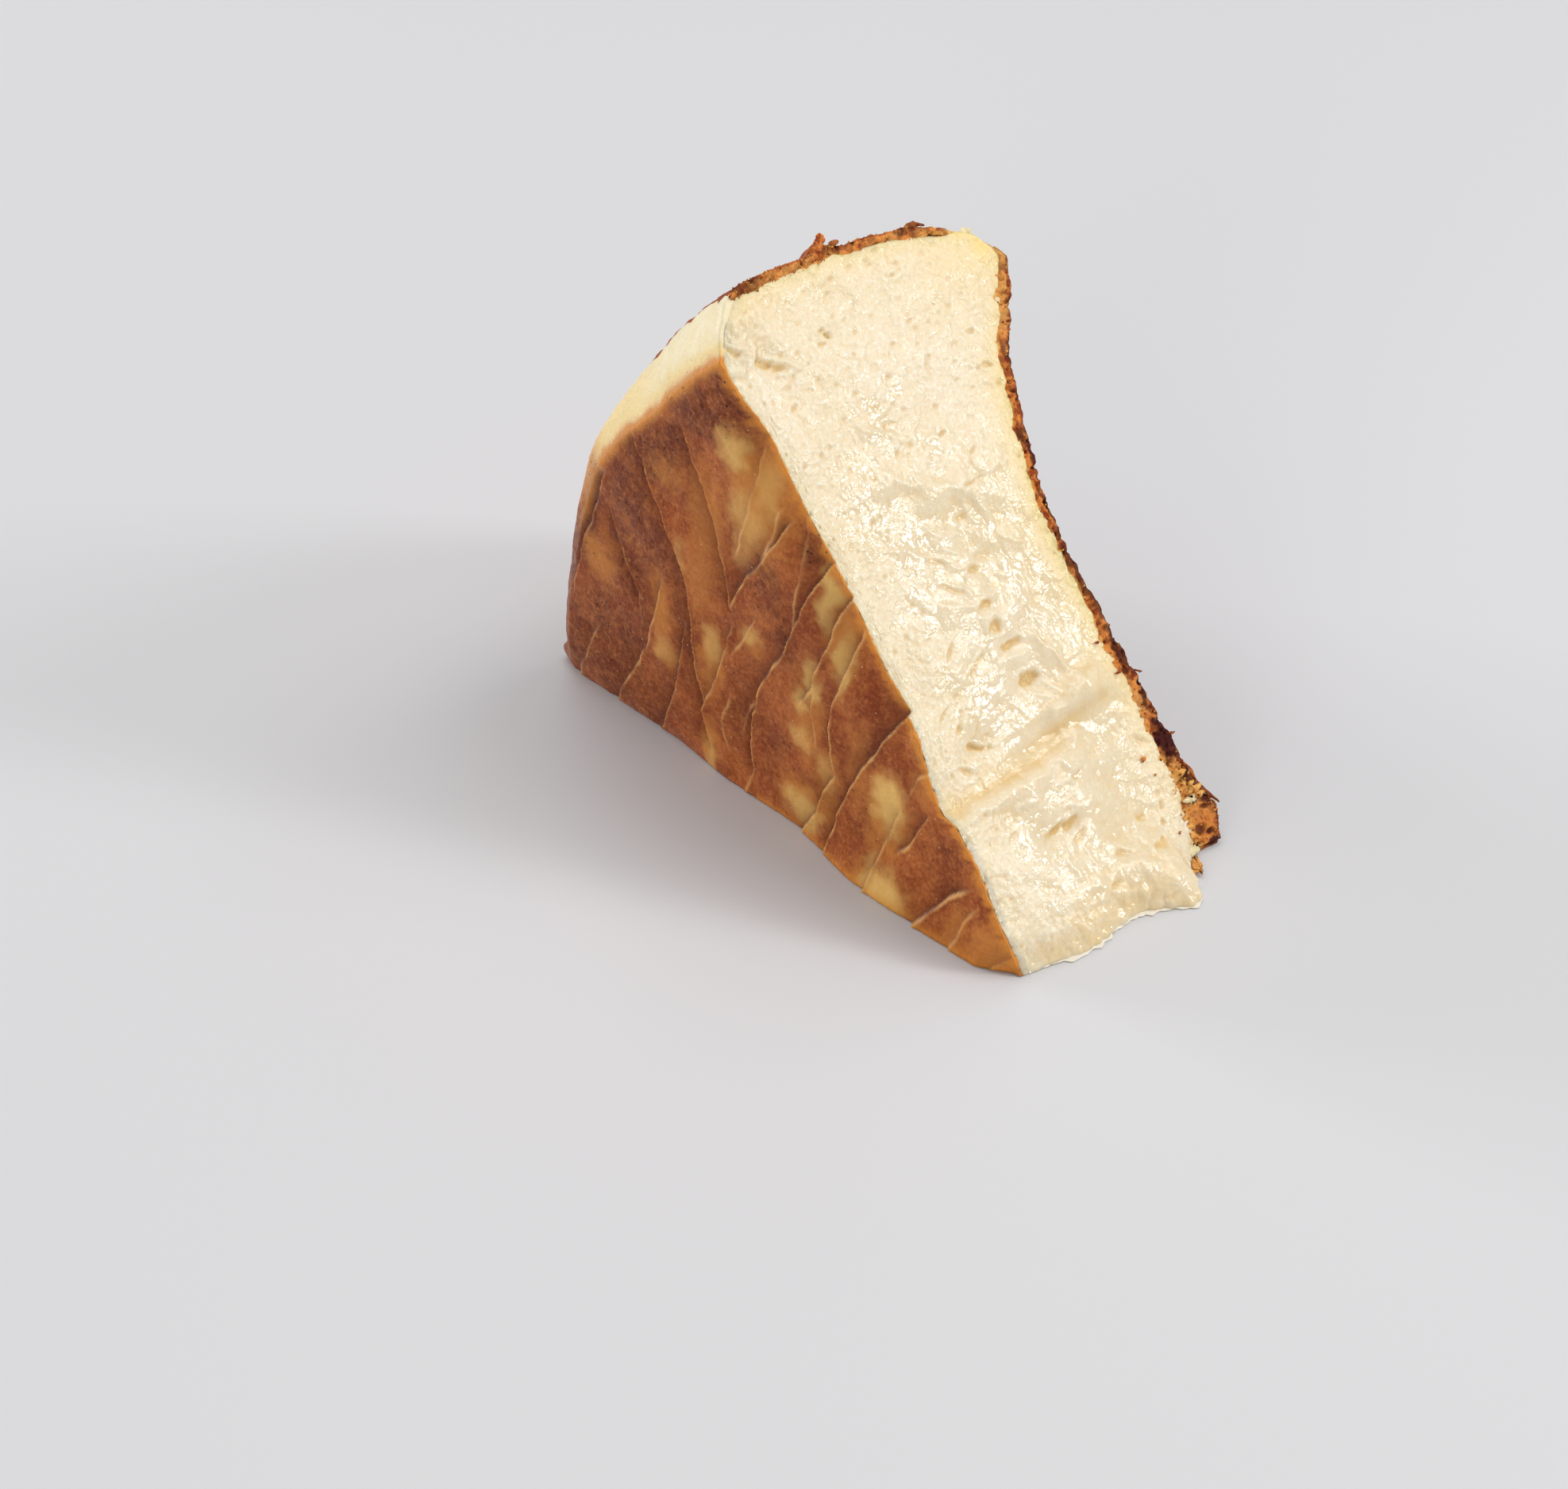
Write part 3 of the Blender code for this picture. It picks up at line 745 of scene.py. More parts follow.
# %% Soft cheese
def cheese_finish():
    material, tree, shader = new_finish("moist_cheese")
    cloud = between(tree, speckle(tree, 14, detail=2), 0.35, 0.65)
    colour = mixed(tree, cloud, srgb(245, 231, 204), srgb(242, 226, 193))
    wet = mark(tree, "wet")
    dry = between(tree, wet, 0.3, 0.9, 1, 0.4)
    grit = speckle(tree, 0.6, detail=2)
    # Painted light and shade on the grit: lighter on its raised grains, darker and golden in its pits,
    # which the fine bump below raises and sinks.
    painted_grit_light = number(tree, "MULTIPLY", between(tree, grit, 0.55, 0.68), dry)
    colour = mixed(tree, painted_grit_light, colour, srgb(253, 245, 224))
    sunk_shade = number(tree, "MULTIPLY", between(tree, grit, 0.34, 0.46, 0.35, 0), dry)
    colour = mixed(tree, sunk_shade, colour, srgb(238, 216, 166))
    colour = mixed(tree, number(tree, "MULTIPLY", wet, 0.3), colour, srgb(238, 218, 182))
    # The mark tan lays painted golden shade in the cut's hollows, pits and low places, and a golden tone
    # along the base.
    colour = tinted(tree, colour, {"yolk": (250, 219, 140), "tan": (236, 206, 148)})
    tree.links.new(colour, shader.inputs["Base Color"])

    patchy = between(tree, speckle(tree, 2.0, detail=2), 0.35, 0.65, -0.3, 0.35)
    sparkle = between(tree, speckle(tree, 0.7, detail=1), 0.54, 0.7, 0, 0.4)
    shine = number(tree, "ADD", number(tree, "ADD", wet, patchy), sparkle)
    tree.links.new(between(tree, shine, 0.25, 0.65, 0.42, 0.05), shader.inputs["Roughness"])
    keep_even(shader, {
        "Subsurface Weight": 0.4,
        "Subsurface Radius": (1.0, 0.78, 0.5),
        "Subsurface Scale": 1.4 * MM,
        "Specular IOR Level": 0.6,
    })

    fine = raised(tree, number(tree, "MULTIPLY", grit, dry), 0.14, 0.9)
    bead = speckle(tree, 0.65, detail=1, warp=0.3, along_x=1.5)
    bead = number(tree, "MULTIPLY", bead, between(tree, shine, 0.2, 0.7, 0.25, 1))
    beads = raised(tree, bead, 0.065, 0.9, fine)
    tree.links.new(beads, shader.inputs["Normal"])
    return material


soft_cheese = cheese_finish()
print("Finish", soft_cheese.name, "has", len(soft_cheese.node_tree.nodes), "nodes")

# %% [markdown]
# ## The middle of the slice
#
# The upper cut is what one looks at, so nearly all of this piece's points are on it. Its
# other sides lie just under the skins and need few. Relief on the cut is drawn in
# zones: granular curd by the base and the wall, smears where the knife dragged, and a few tears.

# %% Where the cut shines, is torn and is ridged
SHINE_SPOTS = (
    # radius, height, half-width, half-height, strength
    (13, 26, 4.5, 4, 1), (19.5, 31.5, 2, 2.2, 1), (22, 26.5, 2.4, 1.2, 1), (7, 27, 1, 5, 0.9),
    (6, 19, 2, 5, 0.8), (18.5, 14, 3.5, 4, 0.9), (28, 25.5, 1.8, 4.5, 1), (26.6, 17, 1.2, 5, 0.9),
    (30, 20, 1.2, 4, 0.8), (38, 18, 5, 5, 1), (35, 12, 2.5, 2.5, 0.9), (43.5, 13, 3, 3, 0.9),
    (46, 21.5, 3, 2, 0.8), (42, 30.3, 2.6, 1.4, 1), (48, 32, 3.5, 2, 1), (54, 32, 5, 2.4, 1),
    (61, 32.5, 4, 1.6, 0.9), (51, 27.4, 1.6, 1, 0.9), (56, 14, 4, 3.5, 0.8), (65, 16.5, 4, 4, 0.9),
    (78, 28, 2.6, 1.8, 1), (76, 14, 6, 5, 0.8), (70, 12, 5, 4, 0.7), (84, 21, 4, 3, 0.7),
    (88, 26.5, 2, 1.6, 0.6), (51, 37, 6, 1.6, 0.8), (1.5, 18, 1.6, 1.8, 0.9), (4, 27, 2, 1.6, 0.8),
)
TEARS = (
    # radius, height, half-width, half-length, lean in degrees from the cake's axis, depth
    (16.2, 20, 0.6, 1.5, 12, 0.7), (16.5, 16.8, 0.6, 1.9, -4, 0.9), (33.7, 12, 0.6, 1.9, -30, 0.9),
    (38.7, 26.3, 0.9, 1.5, -10, 1.0), (44.8, 25.4, 0.7, 1.9, -6, 0.7), (48.6, 24.4, 1.2, 1.3, 30, 0.8),
    (52.1, 24.2, 0.6, 1.2, -10, 0.7), (69.9, 32.4, 0.35, 1.5, -4, 0.5), (78.6, 31.7, 0.4, 0.9, 0, 0.6),
    (84.7, 45.2, 0.5, 1.0, -10, 0.6), (84.9, 43.4, 0.35, 0.5, 0, 0.4), (91, 45.2, 0.45, 0.7, 0, 0.6),
    (99.7, 20.4, 0.5, 0.45, 20, 0.7), (100.9, 20.1, 0.4, 0.35, 0, 0.6), (99.3, 18.6, 0.3, 1.0, -20, 0.4),
    (98.6, 10, 0.7, 2.0, -34, 0.7), (100.4, 7.4, 0.7, 1.8, -38, 0.7), (101.9, 6.9, 0.5, 1.1, 55, 0.6),
    (31.6, 7.4, 0.5, 1.2, -30, 0.5), (13.6, 20, 0.6, 1.5, 25, 0.4), (4.8, 21, 0.6, 1.9, 20, 0.4),
    (8, 25.8, 0.8, 1.2, -30, 0.5), (6.0, 33.6, 0.7, 1.7, 0, 0.7), (10.6, 33.4, 1.4, 1.0, 50, 0.5),
    (21.3, 40.1, 1.1, 0.7, 60, 0.5), (8.4, 37, 0.6, 0.5, 0, 0.5), (10.6, 38.5, 0.4, 0.8, 80, 0.5),
    (12.3, 38.7, 0.4, 0.4, 0, 0.4), (14.1, 40.9, 0.25, 0.4, 80, 0.4), (104.2, 2.6, 0.7, 1.6, -40, 0.6),
    (44.5, 18, 0.4, 2.2, 28, 0.4), (40.4, 8.6, 0.4, 1.4, 38, 0.4), (37.6, 10, 0.4, 1.6, 38, 0.4),
    (48.4, 14.6, 0.4, 2.2, 35, 0.4), (22.4, 24.4, 0.8, 1.2, 20, 0.35), (19, 8.6, 0.5, 1.5, 30, 0.35),
    (58, 25.6, 0.9, 1.3, 40, 0.5), (65.6, 28.4, 1.4, 0.8, 70, 0.4), (95, 41, 0.5, 0.4, 0, 0.3),
    (93, 28.8, 0.4, 0.3, 0, 0.4), (104, 36, 0.4, 0.5, 0, 0.3), (92, 8.8, 0.7, 0.8, 20, 0.35),
    (56.4, 20.4, 0.4, 2.0, -50, 0.35), (61.6, 19.6, 0.4, 2.2, -40, 0.35), (73.4, 34.8, 0.4, 1.4, 40, 0.3),
    (89, 34.8, 0.3, 1.4, 80, 0.3), (96.4, 35.4, 0.4, 0.6, 0, 0.3), (107, 33, 0.3, 0.5, 0, 0.3),
)
RIDGES = (
    # route in (radius, height), width, rise
    (((62, 33.6), (65, 32.4), (68, 31.4), (69.6, 30), (72.4, 24.6), (74.2, 21), (78.6, 17)), 0.6, 0.4),
    (((53, 28), (52.8, 22.6), (54.4, 18.4), (56, 16)), 0.7, 0.5),
    (((56, 29.4), (58, 28.2), (59.6, 25.6), (60.4, 28.6), (64, 29.6)), 0.5, 0.35),
    (((79.4, 26.4), (82.6, 21.4), (86.4, 16.6)), 0.5, 0.35),
    (((60, 24), (62, 19.4), (65.6, 15.6), (66.8, 11)), 0.4, 0.3),
    (((33.4, 38.4), (34.7, 37), (34.5, 33.4), (32.6, 29), (31.4, 24)), 0.7, 0.8),
    (((35.4, 34.4), (38, 33), (42, 31.4), (46.4, 29.2)), 0.5, 0.45),
    (((43, 28.6), (43, 25), (43.6, 21.6)), 0.45, 0.4),
    (((46.8, 29), (46.7, 25), (47.4, 20.6)), 0.45, 0.45),
    (((50.8, 27.6), (50.5, 24), (51.4, 20.6)), 0.4, 0.4),
    (((3.2, 37), (4.2, 32), (5.6, 27), (7.4, 22)), 0.8, 0.35),
    (((0.4, 31), (1.6, 26), (4.2, 21), (6.6, 17)), 0.6, 0.3),
    (((-1, 16), (2, 14.2), (3.8, 10), (4.2, 4)), 0.5, 0.3),
    (((24.9, -1), (24.8, 6), (25.1, 13), (25.2, 20), (26.2, 25.6), (28, 31)), 0.6, 0.45),
)
print("On the cut:", len(SHINE_SPOTS), "wet spots,", len(TEARS), "tears and", len(RIDGES), "ridges")

# %% How thick the crust is, because the cheese ends below it
TOP_THICKNESS = (
    # radius, millimetres
    (0, 4.0), (2, 4.7), (5, 5.5), (8, 6.1), (10, 5.1), (13, 4.6), (17, 4.0), (22, 3.7), (24, 3.2),
    (29, 3.1), (32, 2.8), (36, 3.0), (39, 2.7), (42, 2.0), (48, 1.7), (53, 1.3), (60, 1.6),
    (70, 1.9), (80, 1.8), (90, 2.4), (95, 2.8), (98.6, 2.0),
)
SIDE_THICKNESS = (
    # height, millimetres
    (7, 0.9), (12, 1.8), (20, 1.4), (26, 1.7), (33, 1.2), (38, 1.0), (43, 1.7), (47, 0.8),
    (53, 0.6), (57.3, 1.4),
)


def top_thickness(radius):
    return np.interp(radius, *np.array(TOP_THICKNESS).T)


def side_thickness(height):
    return np.interp(height, *np.array(SIDE_THICKNESS).T)


def bare_corner(radius, height):
    """At the crest's outer corner there is almost no crust, only a golden skin."""
    return bump(radius, 103.5, 4.5, power=4) * bump(height, 53.2, 3.4, power=4)


print("Crust at the tip", top_thickness(8), "mm, halfway out", top_thickness(53), "mm")


# %% Relief of the curd, the smears and the tears
def smeared(radius, height):
    """1 where the knife dragged the soft middle, 0 in the granular curd."""
    wobble = 5 * grain(radius, height, 9, seed=51)
    low = np.interp(radius, (0, 22, 34, 60, 85), (7, 6, 13, 11, 15))
    return band(radius + wobble, -2, 4, 66, 84) * band(height + wobble * 0.6, low, low + 6, 37, 42)


def leaning(across, along, lean):
    """Coordinates across and along a direction that leans by this many degrees."""
    c, s = math.cos(math.radians(lean)), math.sin(math.radians(lean))
    return c * across - s * along, s * across + c * along


def curd_relief(radius, height, bent, bowed, smear):
    """Relief of the granular cheese, and the painted shade in its gaps, cracks and pits."""
    curd = 1 - smear
    # Round grains with narrow gaps between them.
    grains = 0.16 * np.abs(grain(bent, bowed, 1.7, 61)) + 0.12 * np.abs(grain(bent, bowed, 0.85, 62))
    rise = (0.35 + 0.65 * curd) * grains + 0.2 * grain(radius, height, 4.4, 63)
    # Hairline cracks between larger curds, only in places.
    crack = np.clip(1 - 9 * np.abs(grain(bent, bowed, 3.4, 50)), 0, 1) * curd
    crack *= ramp(grain(radius, height, 6.5, 49), 0.05, 0.35)
    small = pits(radius, height, 2.6, 69, 0.3, 0.15) * curd
    rise -= 0.16 * crack + 0.3 * small
    # The rubbed corner between base and wall crumbles into larger curds.
    crumbly = ramp(radius, 99, 106) * (1 - ramp(height, 6, 14)) * ramp(wall_at(height) - radius, 0.5, 3)
    lumps = 0.8 * np.abs(grain(bent, bowed, 1.9, 54)) + 0.4 * np.abs(grain(bent, bowed, 1.0, 48))
    return rise + crumbly * lumps, 0.4 * small + 0.3 * crack + 0.1 * curd * (grains < 0.05)


def smear_relief(radius, height, bent, bowed, smear):
    """Relief where the knife dragged the cheese, the painted shade of its low places, and where it is wet.
    """
    # Soft waves across the drag of the knife, here and there with a torn crest.
    across, along = leaning(bent, bowed, -38)
    creamy = 0.3 * grain(across, along, 3.4, 64, stretch=1.7)
    crest = np.clip(1 - 4 * np.abs(grain(across, along, 4.2, 65, stretch=1.8)), 0, 1) ** 2
    torn = ramp(grain(radius, height, 7, 70), 0.0, 0.4)
    streak = band(radius, 24, 27, 33, 36) * band(height, 5, 12, 36, 41)
    shine = patches(radius, height, SHINE_SPOTS, 67, warp=2.0, frayed=0.5, soft=0.5)
    rise = smear * (1 - 0.6 * streak) * (1 - 0.5 * shine) * (creamy + 0.28 * crest * torn)
    rise += 0.1 * shine * grain(bent, bowed, 1.2, 47)
    rise += streak * 0.14 * grain(radius - 0.12 * height, height, 1.3, 66, stretch=9)
    # Near the tip the knife left lines across the slice, and above the middle lines along it.
    up_lines = band(radius, 2, 6, 22, 25) * band(height, 8, 13, 32, 37)
    rise += up_lines * 0.09 * grain(bent - 0.08 * height, height, 0.8, 57, stretch=5)
    side_lines = band(radius, 36, 41, 68, 80) * band(height, 28, 31, 40, 43)
    rise += side_lines * 0.1 * grain(bowed + 0.06 * radius, radius, 0.9, 53, stretch=5)
    # Painted shade in the troughs of the creamy waves.
    low = np.clip(-(0.9 * creamy * smear + 0.12 * grain(radius, height, 5, 63)) / 0.25, 0, 1)
    wet = np.clip(np.maximum(shine, 0.08 + 0.45 * smear + 0.2 * streak), 0, 1)
    return rise, low, np.maximum(wet, 0.8 * bump(radius, 0, 3))


def torn_relief(bent, bowed, uneven):
    """Relief of the tears and ridges, and the painted shade in their hollows."""
    rise, hollows = np.zeros_like(bent), np.zeros_like(bent)
    # Tears: small hollows with one lifted lip.
    for at, up, wide, tall, lean, depth in TEARS:
        across, along = leaning(bent - at, bowed - up, lean)
        gap = np.hypot(across / wide, along / tall) + uneven
        hollow = depth * (1 - ramp(gap, 0.3, 1.35))
        lifted = depth * bump(gap, 1.5, 0.5) * ramp(across, -0.3, 0.8)
        rise += 0.3 * lifted - 0.8 * hollow
        hollows = np.maximum(hollows, 0.95 * hollow)
    # Painted shade on the ledge's flank near the tip, and in a dent where it ends.
    hollows = np.maximum(hollows, 0.6 * bump(bent, 31.6, 1.8) * bump(bowed, 35.4, 2.4))
    flank = np.interp(bowed, (0, 13, 22, 30, 37), (28.0, 27.2, 27.8, 30, 31.5))
    depth = np.interp(bowed, (0, 8, 20, 32, 38), (0.65, 0.45, 0.4, 0.55, 0))
    hollows = np.maximum(hollows, depth * bump(bent - flank, 0, 1.9))
    hollows = np.maximum(hollows, 0.8 * bump(bent, 2.3, 0.9) * bump(bowed, 40.7, 0.8))
    # Ridges: steep on one side and long on the other, as the knife pushed them up.
    for route, wide, swell in RIDGES:
        distance, side, fade = near_route(bent, bowed, route)
        rise += 1.3 * swell * np.exp(-distance / np.where(side > 0, wide, 2.2 * wide)) * fade
    return rise, hollows


print("Smeared halfway out:", smeared(np.array([45.0]), np.array([22.0])).round(2))

# %% The upper cut's fine relief and its marks
def yellower(radius, height, under_crust, in_wall):
    """1 where the cheese is yellow, near the crust, the wall and the base."""
    near_crust = np.exp(-np.clip(under_crust - 1.5, 0, None) / 2.6)
    yolk = near_crust * np.interp(radius, (5, 10, 26, 44), (0, 0.9, 0.9, 0.9))
    yolk = np.maximum(yolk, 0.8 * np.exp(-np.clip(in_wall - 1, 0, None) / 2.4) * ramp(height, 2, 9))
    yolk = np.maximum(yolk, 0.5 * ramp(radius, 84, 106) * ramp(height, 30, 54))
    yolk = np.maximum(yolk, bump(radius, 102.5, 5) * bump(height, 54.5, 3.4))
    yolk = np.maximum(yolk, 0.55 * np.exp(-height / 1.1))
    return np.clip(yolk, 0, 1)


def cut_texture(radius, height):
    """Fine relief of the upper cut, and its marks."""
    smear = smeared(radius, height)
    bent = radius + 0.6 * grain(radius, height, 3, 59)
    bowed = height + 0.6 * grain(radius, height, 3, 58)
    uneven = hills(radius, height, (0.45, 1.5, 56), (0.2, 0.7, 55))
    curd_rise, pit_shade = curd_relief(radius, height, bent, bowed, smear)
    smear_rise, low, wet = smear_relief(radius, height, bent, bowed, smear)
    torn_rise, hollows = torn_relief(bent, bowed, uneven)
    rise = curd_rise + smear_rise + torn_rise + 0.45 * bump(radius, 4, 3.5) * bump(height, 26, 3.5)
    # Painted shade in the hollows, pits, cracks and low places; darker too near the tip and along the
    # base.
    tan = np.clip(hollows + pit_shade + 0.25 * low, 0, 1)
    thin = 0.35 + 0.5 * grain(bent, bowed, 4, 60, stretch=1.8)
    tan = np.maximum(tan, thin * (1 - ramp(radius, 2, 9)) * band(height, 2, 6, 30, 36))
    tan = np.maximum(tan, 0.75 * bump(height, 0.3, 0.5) * (0.8 + grain(radius, height, 2, 52)))
    under_crust, in_wall = top_at(radius) - height, wall_at(height) - radius
    yolk = yellower(radius, height, under_crust, in_wall)
    # At the foot the relief fades out towards the pale skin's edge.
    foot = 1 - ramp(height, 8, 12)
    rise *= 1 - 0.8 * bump(in_wall, 0.9, 1.4) * foot
    rise -= 0.25 * bump(in_wall, 0, 2.0) * foot
    # The cheese is cut back under the opened crust, whose pores reach down.
    crust_top, crust_side = top_thickness(radius), side_thickness(height)
    covered = 1 - bare_corner(radius, height)
    start = np.maximum(0.3 * crust_top, crust_top - 1.8)
    end = np.maximum(0.7 * crust_top, crust_top - 0.6)
    rise -= 1.9 * (1 - ramp(under_crust, start, end)) * ramp(radius, 0, 3) * covered
    rise -= 1.4 * (1 - ramp(in_wall, 0.3 * crust_side, 0.7 * crust_side)) * ramp(height, 8, 12) * covered
    return rise, {"wet": wet, "tan": np.clip(tan, 0, 1), "yolk": yolk}


halfway_marks = cut_texture(np.array([45.0]), np.array([22.0]))[1]
print("Marks halfway out:", {name: round(float(values[0]), 2) for name, values in halfway_marks.items()})

# %% The lattice of the cheese
RADIAL_CELLS = 420
HEIGHT_CELLS = 165
HIDDEN_STEPS = (0, 0.08, 0.3, 0.6, 0.85, 0.97, 0.984, 0.993)


def cheese_places(ring, level):
    """Radius and height in the cake's cross-section, for shares from 0 to 1."""
    top_radius, top_height = along_line(TOP_CURVE, ring * TOP_CURVE[1][-1])
    wall_radius, wall_height = along_line(WALL_CURVE, level * WALL_CURVE[1][-1])
    crest_radius, crest_height = CREST
    radius = (1 - level) * ring * BASE_RADIUS + level * top_radius + ring * wall_radius
    radius -= ring * ((1 - level) * BASE_RADIUS + level * crest_radius)
    height = level * top_height + (1 - ring) * level * TIP_HEIGHT + ring * wall_height
    height -= level * ((1 - ring) * TIP_HEIGHT + ring * crest_height)
    return radius, height


def smoothed(grid, reach):
    """The average over a square of this many cells to each side."""
    padded = np.pad(grid, reach, mode="edge")
    total = np.zeros_like(grid)
    for right in range(2 * reach + 1):
        for up in range(2 * reach + 1):
            total += padded[right:right + grid.shape[0], up:up + grid.shape[1]]
    return total / (2 * reach + 1) ** 2


def cheese_lattice():
    """Keys (ring, step of the turn, level) and faces, and the numbers of the points on the cut."""
    keys = {}

    def point(ring, step, level):
        return keys.setdefault((ring, step if ring else 0, level), len(keys))

    rings, levels = range(RADIAL_CELLS + 1), range(HEIGHT_CELLS + 1)
    last = len(HIDDEN_STEPS)
    faces = []
    for ring in rings[:-1]:
        for level in levels[:-1]:
            a, b = point(ring, last, level), point(ring + 1, last, level)
            faces.append((a, b, point(ring + 1, last, level + 1), point(ring, last, level + 1)))
        for level in (0, HEIGHT_CELLS):
            near = [point(ring, step, level) for step in range(last + 1 if ring else 1)]
            far = [point(ring + 1, step, level) for step in range(last + 1)]
            faces.extend(strip(near, far))
    for level in levels[:-1]:
        low = [point(RADIAL_CELLS, step, level) for step in range(last + 1)]
        high = [point(RADIAL_CELLS, step, level + 1) for step in range(last + 1)]
        faces.extend(strip(low, high))
    under = [point(ring, 0, 0) for ring in rings]
    under += [point(RADIAL_CELLS, 0, level) for level in levels[1:]]
    under += [point(ring, 0, HEIGHT_CELLS) for ring in reversed(rings[:-1])]
    under += [point(0, 0, level) for level in reversed(levels[1:-1])]
    faces.append(under)
    cut_grid = np.array([[point(ring, last, level) for level in levels] for ring in rings])
    return np.array(list(keys)), faces, cut_grid


print("The cut has", RADIAL_CELLS, "by", HEIGHT_CELLS, "cells")

# %% The cheese as one closed body
# How far below the skins the cheese ends: at the cut, behind it, and behind the wall's dent.
UNDER_BASE = 0.35
UNDER_CRUST = 0.9
DEEP_UNDER_SKIN = 1.7
DEEPER_AT_DENT = 1.6
# Under the flap it stands back in two steps: from height, to height, how far.
BACK_UNDER_FLAP = ((37.8, 39.2, 1.3), (40.2, 42.2, 1.1))
SHADE_CELLS = 5
SHADE_BELOW = 38


def make_cheese():
    keys, faces, cut_grid = cheese_lattice()
    ring, step, level = keys.T
    radius, height = cheese_places(ring / RADIAL_CELLS, level / HEIGHT_CELLS)
    share = np.array((*HIDDEN_STEPS, 1.0))[step]
    turn = SLICE_ANGLE * share
    on_cut = np.where(ring == 0, 1.0, share == 1.0)
    top, wall = top_at(radius), wall_at(height)
    # Every point is drawn in from the base, the top and the wall, so the skins cover it.
    from_base = UNDER_BASE + (DEEP_UNDER_SKIN - UNDER_BASE) * (1 - on_cut)
    deep = DEEP_UNDER_SKIN + DEEPER_AT_DENT * bump(share, 0.3, 0.4)
    from_crust = UNDER_CRUST + (deep - UNDER_CRUST) * (1 - on_cut)
    # At the bare corner of the crest the cheese reaches right to the outside.
    flush = np.interp(share, (0.97, 0.984, 0.993, 1), (0, 0.8, 1, 1))
    from_crust = from_crust * (1 - 0.85 * flush * bare_corner(radius, height))
    height = from_base + height * (top - from_base - 1.1 * from_crust) / top
    radius = radius * (wall - from_crust * ramp(radius, 60, 112)) / wall
    # Under the flap at the tip the cheese stands back, so only crust is seen there.
    under_flap = sum(back * ramp(height, low, high) for low, high, back in BACK_UNDER_FLAP)
    radius = radius + under_flap * np.exp(-radius / 2)
    rise, marks = cut_texture(radius, height)
    # Light gets lost in the hollows of the cut, so they look deeper in colour than the crests.
    whole = rise + cut_rise(radius, turn, height, 0 * height)
    sunk_shade = smoothed(whole[cut_grid], SHADE_CELLS) - whole[cut_grid]
    marks["tan"][cut_grid] += 0.5 * np.clip(sunk_shade / 0.3, -0.5, 1) * (height[cut_grid] < SHADE_BELOW)
    marks["tan"] = np.clip(marks["tan"], 0, 1)
    fade = ramp(radius, 0, 2.5) * on_cut
    points = lay_down(radius, turn, height, cut=rise * fade)
    piece = new_piece("cheese_middle", points, faces, soft_cheese, marks)
    # The toe hangs over at the tip, so its grains stand out along the surface's own direction.
    toe = bump(radius, 0, 6) * on_cut
    roughen(piece, 0.8 * toe * band(height, 0.4, 2, 36, 41), 2.6)
    roughen(piece, 0.4 * toe * band(height, 0.4, 2, 38, 43), 1.1)
    return piece


cheese_middle = make_cheese()
dress(cheese_middle, stands_for_slice=True)

# %% [markdown]
# ## A skin
#
# The base and the crust are thin and closed: an outer face, an inner face and the edge that the
# knife opened. Both follow a path through the cake's cross-section and are turned through the
# slice's angle. The edge gets points of its own, because it is seen close up.

# %% A closed skin along a path
LOOK_AHEAD = 1.5


def closed_skin(columns, layers, steps_outside, steps_inside):
    """Keys (column, share of the turn, layer) and faces of a skin. Layer 0 is the outside."""
    keys = {}

    def row(column, layer):
        count = steps_outside[column] if layer == 0 else steps_inside[column]
        shares = [step / count for step in range(count + 1)] if count else [0.0]
        return [keys.setdefault((column, share, layer), len(keys)) for share in shares]

    def edge(column, share):
        share = share if steps_outside[column] else 0.0
        return [keys.setdefault((column, share, layer), len(keys)) for layer in range(layers + 1)]

    faces = []
    for column in range(columns):
        for layer in (0, layers):
            faces.extend(strip(row(column, layer), row(column + 1, layer)))
        for share in (0.0, 1.0):
            faces.extend(strip(edge(column, share), edge(column + 1, share)))
    for column in (0, columns):
        if steps_outside[column]:
            for layer in range(layers):
                faces.extend(strip(row(column, layer), row(column, layer + 1)))
    return np.array(list(keys)), [face for face in faces if len(set(face)) == 3]


def skin_steps(places, steps):
    """How many steps each row has outside and inside: fewer where the radius is smaller."""
    outside = [max(2, round(steps * radius / WALL_RADIUS)) if radius else 0 for radius in places[:, 0]]
    return outside, [max(1, count // 4) if count else 0 for count in outside]


def path_places(path, columns):
    """Points along a path of (radius, height), the directions into the cake, and the length."""
    end = path[1][-1]
    length = np.linspace(0, end, columns + 1)
    radius, height = along_line(path, length)
    after = np.column_stack(along_line(path, np.minimum(length + LOOK_AHEAD, end)))
    before = np.column_stack(along_line(path, np.maximum(length - LOOK_AHEAD, 0)))
    run = after - before
    run /= np.linalg.norm(run, axis=1)[:, None]
    inwards = np.column_stack([-run[:, 1], run[:, 0]])
    return np.column_stack([radius, height]), inwards, length


def joined(*parts):
    """Several lines of points as one path with its length."""
    points = np.vstack(parts)
    steps = np.linalg.norm(np.diff(points, axis=0), axis=1)
    keep = np.concatenate([[True], steps > 1e-9])
    return points[keep], np.concatenate([[0], np.cumsum(steps[keep[1:]])])


print("The way into the cake is measured over", 2 * LOOK_AHEAD, "mm of a skin's path")

# %% [markdown]
# ## The finish of the browned base
#
# The base browned where it lay flat on the paper and stayed pale where the paper stood off. Its
# colour is therefore built from marks: pale patches, burnt areas, painted shade by the creases,
# painted highlights on the folds' lips, and the orange rim along the cut. Noise breaks up their borders.

